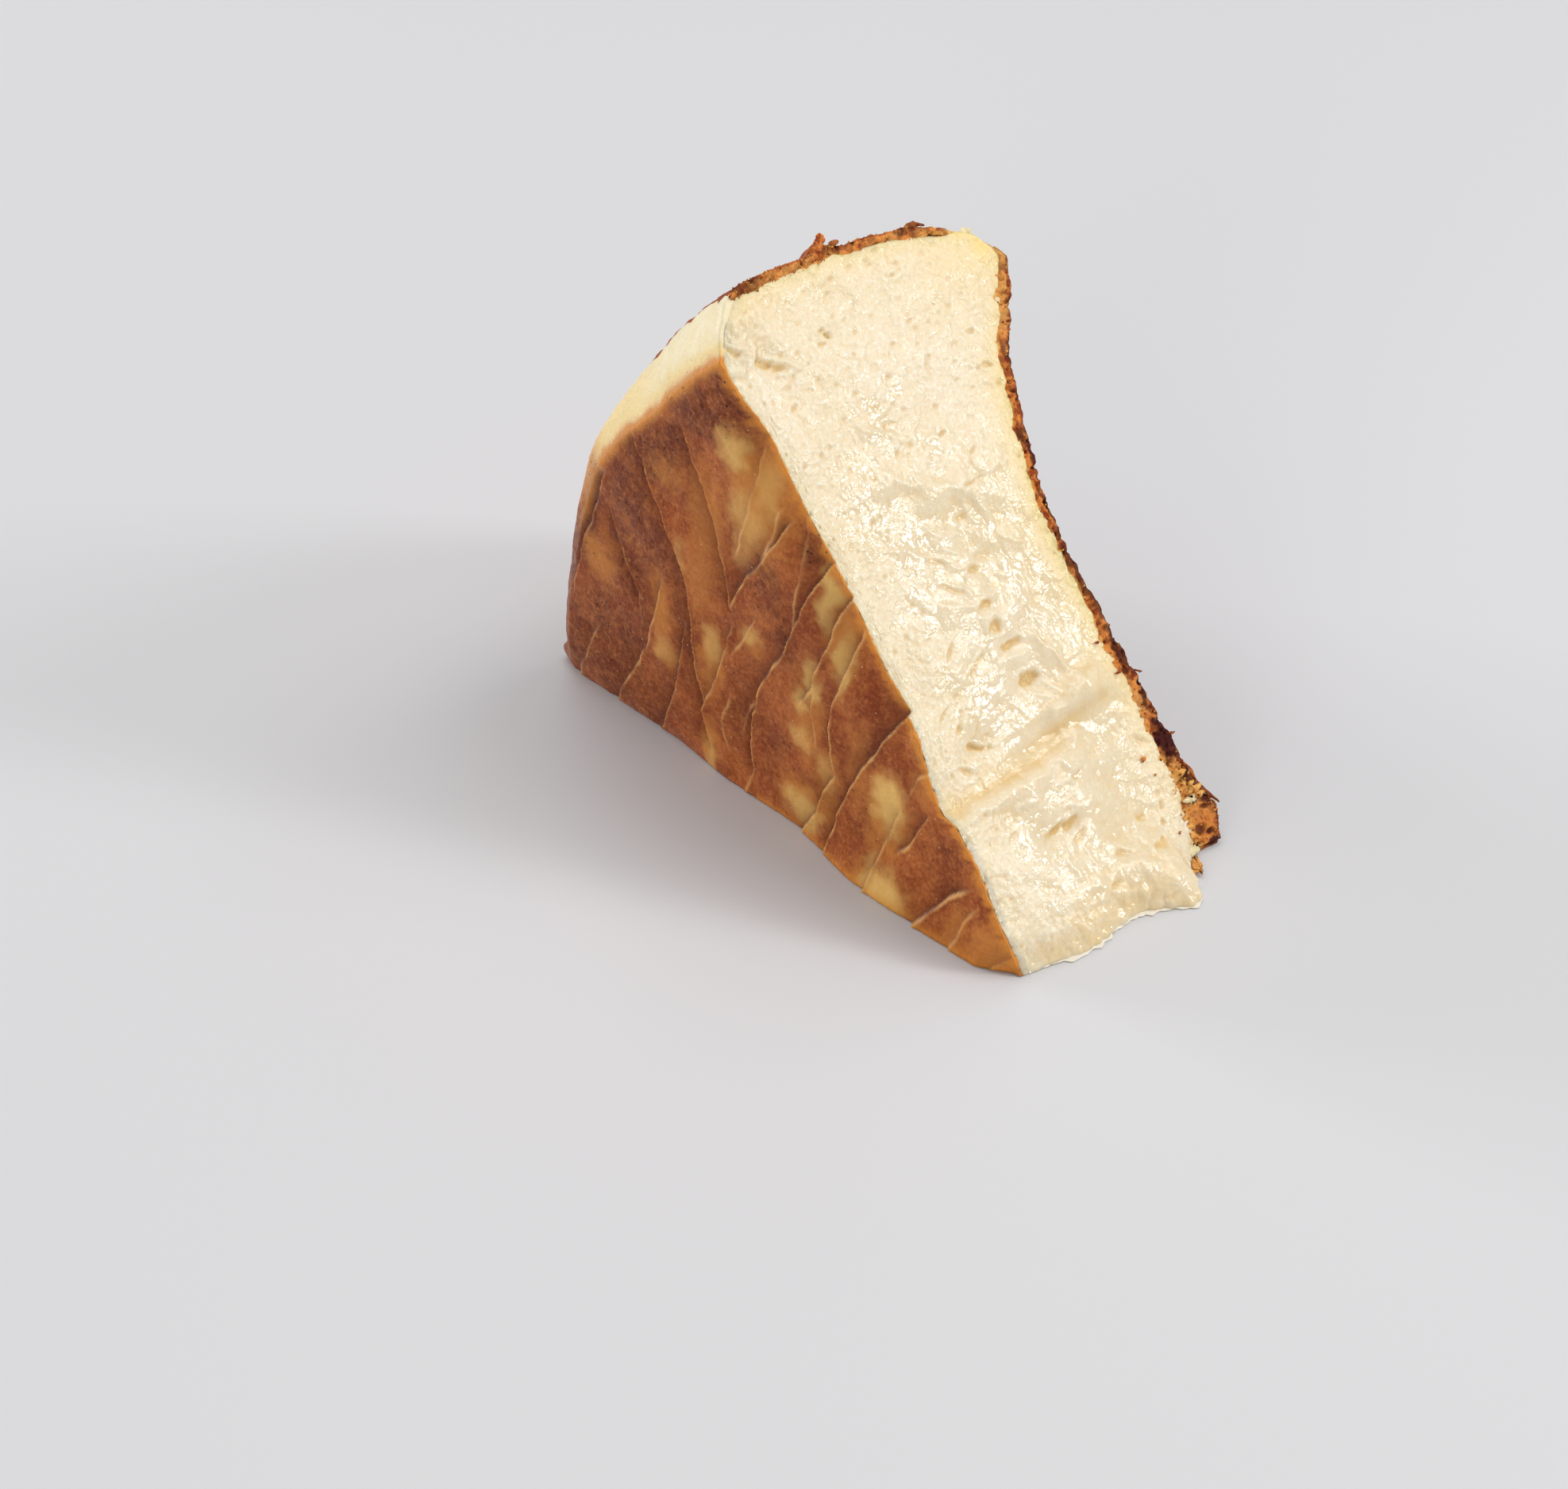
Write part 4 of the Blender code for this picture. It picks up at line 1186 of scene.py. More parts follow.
# %% Browned base
def base_finish():
    material, tree, shader = new_finish("browned_base")
    drift = between(tree, speckle(tree, 8, detail=5, rough=0.65, warp=0.3), 0.36, 0.64)
    colour = mixed(tree, drift, srgb(150, 70, 32), srgb(188, 104, 50))
    mottle = between(tree, speckle(tree, 2.2, detail=4, rough=0.7), 0.44, 0.64)
    colour = mixed(tree, mark(tree, "burnt"), colour, srgb(116, 54, 28))
    colour = mixed(tree, number(tree, "MULTIPLY", mottle, 0.32), colour, srgb(206, 130, 72))
    # The skin is finely granular wherever it browned.
    fine_grain = speckle(tree, 0.7, detail=3, rough=0.7)
    colour = mixed(tree, between(tree, fine_grain, 0.36, 0.5, 0.4, 0), colour, srgb(92, 40, 20))
    colour = mixed(tree, between(tree, fine_grain, 0.54, 0.7, 0, 0.4), colour, srgb(216, 142, 84))
    foot_tint = between(tree, speckle(tree, 5, detail=2), 0.35, 0.65)
    foot_colour = mixed(tree, foot_tint, srgb(250, 238, 204), srgb(246, 230, 184))
    colour = mixed(tree, mark(tree, "foot"), colour, foot_colour)
    # Painted shade beside the folds' creases and a painted highlight on their lips are laid on here too.
    colour = tinted(tree, colour, {
        "gold": (246, 218, 150),
        "tan": (218, 144, 68),
        "pale": (238, 192, 112),
        "rim": (228, 148, 60),
        "crease_shade": (82, 34, 18),
        "lip_highlight": (234, 176, 108),
    })
    # Small pores where it burnt, and tiny light dots of painted sparkle.
    pore = between(tree, dots(tree, 1.2), 0.06, 0.2, 1, 0)
    pore = number(tree, "MULTIPLY", pore, between(tree, speckle(tree, 4.0, detail=1), 0.4, 0.5))
    burnt = between(tree, mark(tree, "burnt"), 0, 1, 0.1, 1)
    pore = number(tree, "MULTIPLY", pore, burnt)
    colour = mixed(tree, pore, colour, srgb(44, 18, 12))
    beads = between(tree, dots(tree, 2.1), 0.03, 0.08, 1, 0)
    painted_sparkle = between(tree, speckle(tree, 9, detail=1), 0.45, 0.55, 0.1, 0.8)
    colour = mixed(tree, number(tree, "MULTIPLY", beads, painted_sparkle), colour, srgb(244, 208, 168))
    tree.links.new(colour, shader.inputs["Base Color"])

    gloss = speckle(tree, 1.8, detail=3)
    tree.links.new(between(tree, gloss, 0.35, 0.65, 0.46, 0.22), shader.inputs["Roughness"])
    keep_even(shader, {
        "Subsurface Weight": 0.08,
        "Subsurface Radius": (1.0, 0.5, 0.25),
        "Subsurface Scale": 1.0 * MM,
        "Specular IOR Level": 0.15,
    })
    fine = raised(tree, fine_grain, 0.2, 0.8)
    holes = raised(tree, pore, -0.25, 0.8, fine)
    tree.links.new(holes, shader.inputs["Normal"])
    return material


browned_base = base_finish()
print("Finish", browned_base.name, "has", len(browned_base.node_tree.nodes), "nodes")

# %% [markdown]
# ## The browned base and its pale foot
#
# The path runs from the tip along the base and up the slanted foot, which stayed pale because
# the paper stood off in the corner of the pan.

# %% Where the base is pale and where it burnt, in (Y, Z), with half-sizes and strength
PALE_SPOTS = (
    (63.5, 65.5, 2.6, 3.2, 0.75), (43.6, 48, 1.6, 5, 0.95), (39.6, 37, 1.5, 5, 0.8),
    (46.4, 31, 1.5, 4, 0.85), (49, 26, 1.6, 2, 0.7), (29, 16.5, 3.0, 5.2, 1.0),
    (27.5, 0.5, 4.2, 4.0, 1.0), (31.6, 1, 1.2, 5, 0.8), (48.5, 4.6, 4.2, 2.8, 0.85),
    (60.5, 54, 3.4, 4.6, 0.5), (56, 61, 2.2, 5, 0.4), (69.8, 25.5, 1.7, 3.6, 0.55),
    (82, 18, 2.2, 2.2, 0.35), (48.6, 19, 2.4, 2.4, 0.45), (60.2, 32, 2.0, 1.5, 0.55),
    (71, 3.5, 1.4, 4, 0.45), (62, 48, 2, 4, 0.35), (43.4, 15, 2.0, 3, 0.4),
    (76.5, 40, 1.2, 3, 0.3), (24.5, 32, 2.0, 3, 0.5), (52.5, 67, 2.5, 2, 0.4),
)
TAN_SPOTS = (
    (58, 58, 6, 9, 0.85), (70, 50, 4, 9, 0.45), (72, 37, 3.4, 7, 0.4), (40, 42, 3, 6, 0.7),
    (47, 24, 3, 9, 0.55), (29, 14, 4.4, 7, 0.7), (28, 0, 7, 4, 0.7), (48, 6, 5, 4, 0.8),
    (70, 22, 2.6, 6, 0.6), (82, 26, 2.2, 7, 0.6), (97, 29, 3.6, 4.4, 0.6), (5, 2, 4, 3, 0.6),
    (12, 2, 2, 5, 0.5), (60, 31, 3, 3, 0.45), (71, 5, 2, 5, 0.5), (36, 20, 2.2, 8, 0.35),
    (43, 12, 3, 7, 0.6), (22, 24, 2.4, 3, 0.4), (81.5, 17.6, 2.6, 2, 0.6), (79, 54, 4, 3, 0.35),
)
BURNT_SPOTS = (
    (63, 75, 7, 5, 1.0), (72, 69, 6, 5, 1.0), (83, 55, 6, 6, 0.95), (89, 45, 6, 8, 0.9),
    (84, 38, 5, 7, 0.7), (78, 60, 5, 4, 0.8), (96, 8, 9, 7, 0.8), (90, 24, 4, 7, 0.6),
    (56, 44, 4, 5, 0.7), (47, 55, 3.2, 3, 0.7), (53, 36, 3, 5, 0.6), (76, 24, 2.4, 8, 0.5),
    (63, 16, 4, 8, 0.45), (56, 14, 4, 9, 0.4), (16, 12, 5, 5, 0.4), (34, 11, 3, 5, 0.45),
    (32, 27, 3, 5, 0.35), (66, 70, 9, 4, 0.8), (100, 38, 4, 12, 0.8), (88, 3, 8, 4, 0.6),
    (95, 16, 8, 9, 0.8), (90, 33, 5, 9, 0.8), (105, 10, 3, 12, 0.7), (84, 8, 5, 6, 0.5),
    (78, 34, 1.8, 9, 0.5),
)
print("On the base:", len(PALE_SPOTS), "pale,", len(TAN_SPOTS), "tan and", len(BURNT_SPOTS), "burnt spots")

# %% The base's marks
RIM_WIDTH = 0.95
FOOT_END = 10.5


def base_marks(radius, turn, height, below_cut):
    """Colour marks of the base, drawn in (Y, Z) on its plane."""
    spread = radius + wall_shift(radius, turn, height)
    y, z = spread * np.cos(turn), spread * np.sin(turn)
    on_base = 1 - ramp(height, 1.5, 4)
    _, crease_shade, lip_highlight = folds(y, z)
    wide = radius - BASE_RADIUS
    pale = patches(y, z, PALE_SPOTS, 71, warp=1.3, frayed=0.14, soft=0.6)
    tan = patches(y, z, TAN_SPOTS, 73, warp=1.6, frayed=0.2, soft=0.6)
    burnt = patches(y, z, BURNT_SPOTS, 75, warp=2.0, frayed=0.2, soft=0.6)
    burnt = np.clip(burnt + hills(y, z, (0.25, 4, 77), (0.15, 1.3, 78)), 0, 1)
    # The rim along the cut, and the foot with its golden and browned borders.
    rim_width = RIM_WIDTH * np.clip(1 + hills(radius, z, (1.2, 3.2, 70), (0.6, 1.1, 69)), 0.2, 2)
    rim = 0.9 * np.exp(-((below_cut / rim_width) ** 2)) * ramp(radius, 0, 3)
    rim = np.maximum(rim, 0.6 * np.exp(-((z / 1.0) ** 2)) * (y < 60))
    low = np.degrees(turn)
    ragged = wide + hills(y, z, (0.6, 5.0, 68), (0.16, 1.3, 67))
    foot = ramp(ragged, 0.0, 1.4) * ramp(low, 23, 30)
    outside = height + 0.5 * grain(y, z, 2.0, 66)
    gold = 0.85 * ramp(wide, -0.6, 2.0) * band(low, 20, 26, 32, 44)
    gold = np.maximum(gold, 0.8 * bump(ragged, 1.9, 1.3) * ramp(low, 22, 30))
    browned = bump(ragged, 0.2, 1.0) * ramp(low, 14, 22)
    browned = np.maximum(browned, 0.8 * ramp(outside, FOOT_END - 2.0, FOOT_END - 0.2) * (wide > 0))
    browned = np.maximum(browned, 0.8 * ramp(wide, -0.6, 1.4) * band(low, 17, 22, 24, 29))
    seared = 0.85 * ramp(wide, -1.0, 1.0) * (1 - ramp(low, 15, 23))
    return {
        "pale": np.clip(pale * on_base, 0, 1),
        "gold": np.clip(gold, 0, 1),
        "tan": np.clip(np.maximum(tan * on_base, browned), 0, 1),
        "burnt": np.clip(np.maximum(burnt * on_base * (1 - 0.6 * pale), seared), 0, 1),
        "rim": np.clip(rim * on_base * (1 - foot), 0, 1),
        "foot": foot,
        # Painted shade beside each crease.
        "crease_shade": np.clip(crease_shade * on_base, 0, 0.85),
        # A painted highlight along each fold's lip.
        "lip_highlight": np.clip(3 * lip_highlight * on_base, 0, 0.85),
    }


print("The pale foot ends", FOOT_END, "mm up the wall")

# %% Make the browned base
BASE_COLUMNS = 380
BASE_STEPS = 300
BASE_LAYERS = 4
# Thickness at the cut, and away from it.
BASE_EDGE = 0.6
BASE_BODY = 3.2
WRINKLES = (
    # y, z, half-width, half-height
    (33.5, 38.5, 2.2, 2.6), (24, 26.5, 2.0, 2.6), (46.4, 48.5, 1.6, 1.6), (12, 9.5, 1.6, 1.4),
    (64.5, 14, 2.4, 2.4), (62, 76, 4, 3), (44.6, 58, 2.4, 1.4), (69, 71, 4, 3),
)


def make_base():
    foot = WALL_CURVE[0][WALL_CURVE[0][:, 1] <= FOOT_END]
    path = joined([(0, 0), (BASE_RADIUS, 0)], foot)
    places, inwards, _ = path_places(path, BASE_COLUMNS)
    keys, faces = closed_skin(BASE_COLUMNS, BASE_LAYERS, *skin_steps(places, BASE_STEPS))
    column, share, layer = keys[:, 0].astype(int), keys[:, 1], keys[:, 2] / BASE_LAYERS
    turn = SLICE_ANGLE * (share + 0.25 * share * (1 - share))
    radius, height = places[column].T
    below_cut = radius * np.sin(SLICE_ANGLE - turn)
    marks = base_marks(radius, turn, height, below_cut)
    wide = ramp(radius, 102, 106)
    edge = BASE_EDGE * (1 + hills(radius, 0, (0.4, 3.5, 81), (0.4, 1.2, 82)))
    edge = np.maximum(edge, 0.45) + 0.9 * wide
    depth = layer * (edge + (BASE_BODY - BASE_EDGE) * ramp(below_cut, 0.6, 6))
    radius = radius + inwards[column, 0] * depth
    height = height + inwards[column, 1] * depth

    y, z = radius * np.cos(turn), radius * np.sin(turn)
    outer = 1 - layer
    inland = ramp(radius, 0, 5) * (1 - ramp(radius, 108, 112))
    texture = hills(y, z, (0.09, 2.6, 83), (0.05, 1.0, 84))
    texture -= 0.16 * pits(y, z, 1.3, 85, 0.6, 0.2) * marks["burnt"]
    crumple = 0.5 * (np.abs(grain(y, z, 1.3, 86)) - 0.2)
    for at_y, at_z, across, tall in WRINKLES:
        texture += crumple * bump(y, at_y, across) * bump(z, at_z, tall)
    texture += 0.18 * marks["rim"] * grain(y, z, 1.6, 87)
    # Along the cut the skin stands out a little, and at the foot it is rounded off.
    lip_up = 0.25 * bump(below_cut, 0, 0.8) * (1 + 0.9 * grain(radius, height, 2.4, 88))
    proud = 0.1 * outer * bump(below_cut, 0, 0.6) * ramp(radius, 1, 5)
    frayed = 0.08 + 0.12 * grain(radius, height, 1.8, 80) + 0.18 * layer**4
    round_corner = (frayed + 0.2 * bump(depth, 0, 0.4)) * bump(below_cut, 0, 1.2) * wide
    arc = turn * WALL_RADIUS
    ripple = 0.3 * grain(arc, 0, 16, 89) * wide
    ripple += 0.1 * grain(arc, radius, 2.0, 88) * wide * (1 + 1.5 * bump(below_cut, 0, 4))
    points = lay_down(
        radius, turn, height,
        cut=(proud + lip_up * outer) * ramp(radius, 0, 6) * (1 - wide) - round_corner,
        base=texture * outer * inland,
        wall=ripple * outer,
    )
    return new_piece("browned_base", points, faces, browned_base, marks)


browned_skin = make_base()
dress(browned_skin, stands_for_slice=True)

# %% [markdown]
# ## The finish of the burnt crust
#
# Outside, the crust is nearly black on the top and reddish brown on the wall. Where the knife
# opened it one sees orange, porous crumb. The mark `inside` runs from 0 on the outer face to 1
# at the cheese, `edge` is 1 on the opened edge, and `side` is 1 on the wall.

# %% Burnt crust
def crust_finish():
    material, tree, shader = new_finish("burnt_crust")
    blotch = between(tree, speckle(tree, 6, detail=4, rough=0.6, warp=0.4), 0.36, 0.64)
    top_colour = mixed(tree, blotch, srgb(82, 32, 16), srgb(138, 66, 34))
    side_colour = mixed(tree, blotch, srgb(134, 60, 30), srgb(190, 104, 52))
    colour = mixed(tree, mark(tree, "side"), top_colour, side_colour)
    fleck = between(tree, speckle(tree, 1.1, detail=3), 0.52, 0.68)
    colour = mixed(tree, number(tree, "MULTIPLY", fleck, 0.5), colour, srgb(184, 102, 52))
    crumb = between(tree, speckle(tree, 1.3, detail=3, rough=0.6), 0.42, 0.58)
    crumb_colour = mixed(tree, crumb, srgb(152, 64, 24), srgb(228, 138, 62))
    crumb_colour = mixed(tree, mark(tree, "toasted"), crumb_colour, srgb(242, 186, 104))
    plain = mark(tree, "plain")
    crumb_colour = mixed(tree, number(tree, "MULTIPLY", plain, 0.75), crumb_colour, srgb(206, 120, 52))
    # The crumb's border is ragged, and at the cheese it turns golden.
    torn = number(tree, "MULTIPLY", speckle(tree, 1.6, detail=3), 0.9)
    ragged = number(tree, "ADD", mark(tree, "inside"), torn)
    opened = number(tree, "MULTIPLY", between(tree, ragged, 0.5, 0.7), mark(tree, "edge"))
    colour = mixed(tree, opened, colour, crumb_colour)
    # Painted shade darkens the opened crumb's cavities and holes.
    colour = tinted(tree, colour, {"char": (70, 20, 12), "cavity_shade": (74, 20, 8)})
    golden = number(tree, "MULTIPLY", between(tree, ragged, 1.2, 1.45), mark(tree, "edge"))
    colour = mixed(tree, golden, colour, srgb(244, 188, 98))
    colour = tinted(tree, colour, {"bare": (252, 220, 144)})
    # Small holes, fewer on the smooth flap.
    hole = between(tree, dots(tree, 1.1), 0.06, 0.28, 1, 0)
    hole = number(tree, "MULTIPLY", hole, between(tree, speckle(tree, 2.6, detail=1), 0.44, 0.56))
    hole = number(tree, "MULTIPLY", hole, between(tree, plain, 0, 1, 1, 0.1))
    colour = mixed(tree, number(tree, "MULTIPLY", hole, 0.7), colour, srgb(84, 30, 14))
    tree.links.new(colour, shader.inputs["Base Color"])
    tree.links.new(between(tree, speckle(tree, 2.0), 0.35, 0.65, 0.68, 0.42), shader.inputs["Roughness"])
    keep_even(shader, {"Specular IOR Level": 0.15})
    fine = raised(tree, speckle(tree, 0.6, detail=4, rough=0.65), 0.22, 0.9)
    deep = raised(tree, hole, -0.3, 0.8, fine)
    tree.links.new(deep, shader.inputs["Normal"])
    return material


burnt_crust = crust_finish()
print("Finish", burnt_crust.name, "has", len(burnt_crust.node_tree.nodes), "nodes")

# %% [markdown]
# ## The crust, from the foot over the rim to the tip
#
# It is one skin: up the wall, over the crest and down across the sunken top. It is thickest
# near the tip, where a flap of it stands out, and almost nothing at the crest's outer corner.

# %% The crust's line, its thickness and its torn flap
CRUST_FROM = 7.0
# How deep the knife tore the flap's top off, and how far out past the tip the flap stands.
TORN_DEPTH = 1.2
FLAP_OUT = 1.1


def crust_line(columns):
    """Places along the crust from the foot to the tip, the way in, length, thickness and side."""
    wall_points = WALL_CURVE[0]
    wall_points = wall_points[wall_points[:, 1] >= CRUST_FROM]
    places, inwards, length = path_places(joined(wall_points, TOP_CURVE[0][::-1]), columns)
    crest = length[np.argmax(places[:, 1])]
    on_top, on_wall = top_thickness(places[:, 0]), side_thickness(places[:, 1])
    thickness = np.where(length > crest, on_top, on_wall)
    thickness *= 1 + hills(length, 0, (0.25, 5.5, 91), (0.2, 2.3, 92))
    return places, inwards, length, thickness, 1 - ramp(length, crest - 5, crest + 1)


def torn_flap(radius):
    """Where the knife tore the top off the flap and the crust behind it."""
    behind = 0.55 * bump(radius, 13.5, 2) + 0.6 * bump(radius, 26.5, 5)
    return bump(radius, 8.5, 6) + 0.75 * bump(radius, 1, 2.5) + behind


print("The crust's line is", round(crust_line(10)[2][-1]), "mm long")

# %% Make the crust
CRUST_COLUMNS = 390
CRUST_STEPS = 190
CRUST_LAYERS = 4


def make_crust():
    places, inwards, length, thickness, on_side = crust_line(CRUST_COLUMNS)
    keys, faces = closed_skin(CRUST_COLUMNS, CRUST_LAYERS, *skin_steps(places, CRUST_STEPS))
    column, share, layer = keys[:, 0].astype(int), keys[:, 1], keys[:, 2] / CRUST_LAYERS
    turn = SLICE_ANGLE * (share + 0.62 * share * (1 - share))
    radius, height = places[column].T
    at, on_side = length[column], on_side[column]
    below_cut = radius * np.sin(SLICE_ANGLE - turn)
    depth = layer * thickness[column]
    radius = np.maximum(radius + inwards[column, 0] * depth, 0)
    height = height + inwards[column, 1] * depth

    arc = turn * WALL_RADIUS
    y, z = radius * np.cos(turn), radius * np.sin(turn)
    outer = np.clip(1 - depth / 1.2, 0, 1)
    crags = hills(y, z, (0.26, 2.6, 93), (0.16, 1.2, 94)) - 0.35 * pits(y, z, 3.1, 95, 0.5, 0.28)
    inland = ramp(radius, 0, 3)
    side_crags = hills(arc, height, (0.28, 2.4, 96), (0.16, 1.1, 97))
    side_crags -= 0.3 * pits(arc, height, 2.7, 98, 0.5, 0.28)
    bottom = ramp(at, 0, 1.5)
    # At the cut it stands back, because the ribbon of the next cell covers its edge.
    at_edge = bump(below_cut, 0, 0.9)
    bare = bare_corner(radius, height) * at_edge
    torn_off = TORN_DEPTH * (1 - layer) * torn_flap(places[column, 0]) * np.exp(-below_cut / 4)
    points = lay_down(
        radius, turn, height,
        cut=-0.5 * at_edge,
        crust=(crags * outer * inland - torn_off) * (1 - on_side),
        wall=(0.25 * bottom + side_crags) * outer * on_side * bottom * (1 - 0.8 * bare),
    )
    points[:, 1] -= FLAP_OUT * bump(places[column, 0], 0, 3)
    marks = {"inside": layer, "edge": 0.3 * at_edge, "side": on_side, "bare": bare}
    return new_piece("crust_skin", points, faces, burnt_crust, marks)


crust_skin = make_crust()
dress(crust_skin, stands_for_slice=True)

# %% [markdown]
# ## The opened edge of the crust
#
# Along the cut the crust shows its inside: brown crumb with cavities and a torn outline, the
# busiest part of the slice. The whole crust needn't be that fine, so a narrow ribbon
# covers its edge. It starts on the outer face, turns over the cut and dives into the cheese.

# %% The ribbon's rings, and the burnt spots and holes of the opened crust
EDGE_LAYERS = 22
# Each ring starts this far behind the cut, and ends in the cheese at (behind, layer).
EDGE_BACK = (2.2, 1.6, 1.1, 0.75, 0.45, 0.2)
EDGE_DIVE = ((0.7, 1.0), (2.2, 0.4))
CHARRED = (
    # radius, height, half-width, half-height, strength
    (19.4, 44.3, 3.6, 1.7, 1.0), (35.4, 43.4, 3.6, 1.2, 0.9), (28, 44.6, 4, 0.5, 0.8),
    (70, 44.9, 5, 0.6, 0.8), (84, 49.6, 3, 0.5, 0.6), (10.5, 46.2, 3.5, 0.7, 0.9),
    (0.2, 43.5, 1.0, 5, 1.0), (1.2, 41.9, 0.8, 0.8, 1.0), (50, 43.1, 5, 0.6, 0.8),
    (60, 43.6, 4, 0.5, 0.8), (109, 42.6, 1.0, 2.6, 0.7), (111.3, 11, 0.8, 3, 0.6),
    (43, 43.7, 2, 0.5, 0.7), (96, 56.4, 3, 0.5, 0.5), (110.8, 27, 0.8, 2, 0.5),
)
CRUST_HOLES = (
    # radius, height, half-width, half-height, depth
    (2.6, 44.7, 0.4, 0.65, 1), (3.5, 43.1, 0.75, 1.1, 1), (4.1, 41.7, 0.45, 0.45, 1),
    (5.6, 41.6, 0.45, 0.4, 0.9), (6.8, 45.3, 0.5, 0.7, 0.7), (1.7, 41.6, 0.4, 0.5, 0.9),
    (7.7, 41.8, 0.7, 0.45, 0.6), (10.9, 42.6, 0.4, 0.4, 0.7), (8.6, 44.7, 0.2, 0.25, 0.6),
    (12.5, 44, 0.4, 0.5, 0.5),
)


def tube(columns, around):
    """Faces of a closed tube whose points run ring by ring, with a cap at each end."""
    faces = []
    for column in range(columns - 1):
        for side in range(around):
            a, b = column * around + side, column * around + (side + 1) % around
            faces.append((a, b, b + around, a + around))
    faces.append(tuple(range(around)))
    faces.append(tuple(range((columns - 1) * around, columns * around)))
    return faces


def edge_ring():
    """A ring of the ribbon: how far behind the cut, and the layer, 0 outside and 1 at the cheese."""
    outside = [(back, 0) for back in EDGE_BACK]
    on_cut = [(0, layer) for layer in np.linspace(0, 1, EDGE_LAYERS + 1)]
    return np.array([*outside, *on_cut, *EDGE_DIVE])


print("A ring has", len(edge_ring()), "points")
print("The opened crust has", len(CHARRED), "burnt spots and", len(CRUST_HOLES), "large holes")

# %% Make the ribbon along the opened edge
EDGE_COLUMNS = 1000
EDGE_END = 0.6


def make_crust_edge():
    places, inwards, length, thickness, on_side = crust_line(EDGE_COLUMNS)
    kept = np.flatnonzero(places[:, 0] > EDGE_END)
    ring = edge_ring()
    back, layer = np.tile(ring, (len(kept), 1)).T
    column = np.repeat(kept, len(ring))
    radius, height = places[column].T
    at, on_side, thick = length[column], on_side[column], thickness[column]
    depth = layer * (thick + layer * hills(at, layer, (0.3, 2.2, 90), (0.16, 0.9, 89)))
    outer_radius = radius
    radius = radius + inwards[column, 0] * depth
    height = height + inwards[column, 1] * depth
    turn = SLICE_ANGLE - back / np.maximum(outer_radius, 3)

    across = depth - back
    bare = bare_corner(radius, height)
    calm = (1 - 0.85 * bare) * ramp(at, 0, 1.5) * ramp(outer_radius, EDGE_END, 3)
    bent = across + 0.5 * grain(at, across, 1.5, 107)
    flap = bump(outer_radius, 2, 7, power=4) * (1 - on_side)
    torn = hills(at, bent, (0.4, 2.0, 99), (0.24, 1.0, 100))
    porous = torn - 0.7 * pits(at, bent, 1.4, 101, 0.5, 0.3) * (1 - flap) - 0.7 * torn * flap
    # Round crumbs behind the flap, and the large holes of the flap itself.
    crumbly = bump(outer_radius, 12, 4.5, power=4) * (1 - on_side)
    porous += crumbly * (0.9 * np.abs(grain(at, bent, 1.5, 102)) - 0.2)
    hole = patches(radius, height, CRUST_HOLES, 110, warp=0.2, frayed=0.15, soft=0.4)
    porous -= 0.6 * hole
    inner = 1 - layer**4
    # Its outer corner is torn too, so the outline against the room is uneven.
    corner = np.exp(-back / 0.9) * np.clip(1 - depth / 0.8, 0, 1)
    outwards = 0.15 + hills(at, across, (0.2, 4.3, 105), (0.12, 1.6, 109), (0.12, 0.7, 106))
    outwards = outwards * corner * calm - 0.25 * (back > 2) - 0.4 * bare
    torn_off = TORN_DEPTH * (1 - layer) * torn_flap(outer_radius) * (1 - on_side)
    points = lay_down(
        radius, turn, height,
        cut=(0.4 + porous * calm) * inner * (back < 0.1) - 0.35 * layer**6 - 1.3 * bare,
        crust=outwards * (1 - on_side) - torn_off,
        wall=(outwards + 0.25 * calm * corner) * on_side,
    )
    points[:, 1] -= FLAP_OUT * bump(outer_radius, 0, 3)
    # Painted shade: the crumb's low places and its large holes are darkened.
    sunk_shade = np.clip(-(porous + 0.25) / 0.6, 0, 0.7)
    char = patches(radius, height, CHARRED, 104, warp=1.0, frayed=0.4)
    toasted = 0.9 * bump(radius, 12, 4) + 0.5 * bump(radius, 27, 3) + 0.5 * bump(radius, 93, 8)
    toasted += 0.4 * bump(radius, 3, 4) + 0.25 * on_side
    marks = {
        "inside": layer,
        "edge": np.exp(-back / 0.5),
        "side": on_side,
        "char": np.clip(char, 0, 1),
        "bare": bare,
        "cavity_shade": np.maximum(sunk_shade, hole) * inner * (back < 0.1) * (1 - bare),
        "plain": flap * (1 - 0.6 * bump(radius, 7, 2)),
        "toasted": np.clip(toasted + 0.3 * grain(at, across, 2.5, 108), 0, 0.9),
        "shed": (0.4 + 1.5 * bump(radius, 8, 7) + 0.7 * on_side) * (back < 0.5) * (1 - bare),
    }
    return new_piece("crust_edge", points, tube(len(kept), len(ring)), burnt_crust, marks)


crust_edge = make_crust_edge()
dress(crust_edge)

# %% [markdown]
# ## Slivers and nubs
#
# Here and there a sliver of crust sticks out, and two pale nubs of cheese hang on the crust. Each
# is a short closed rod along a route on the cut, thinner towards its ends and a bit crumpled.

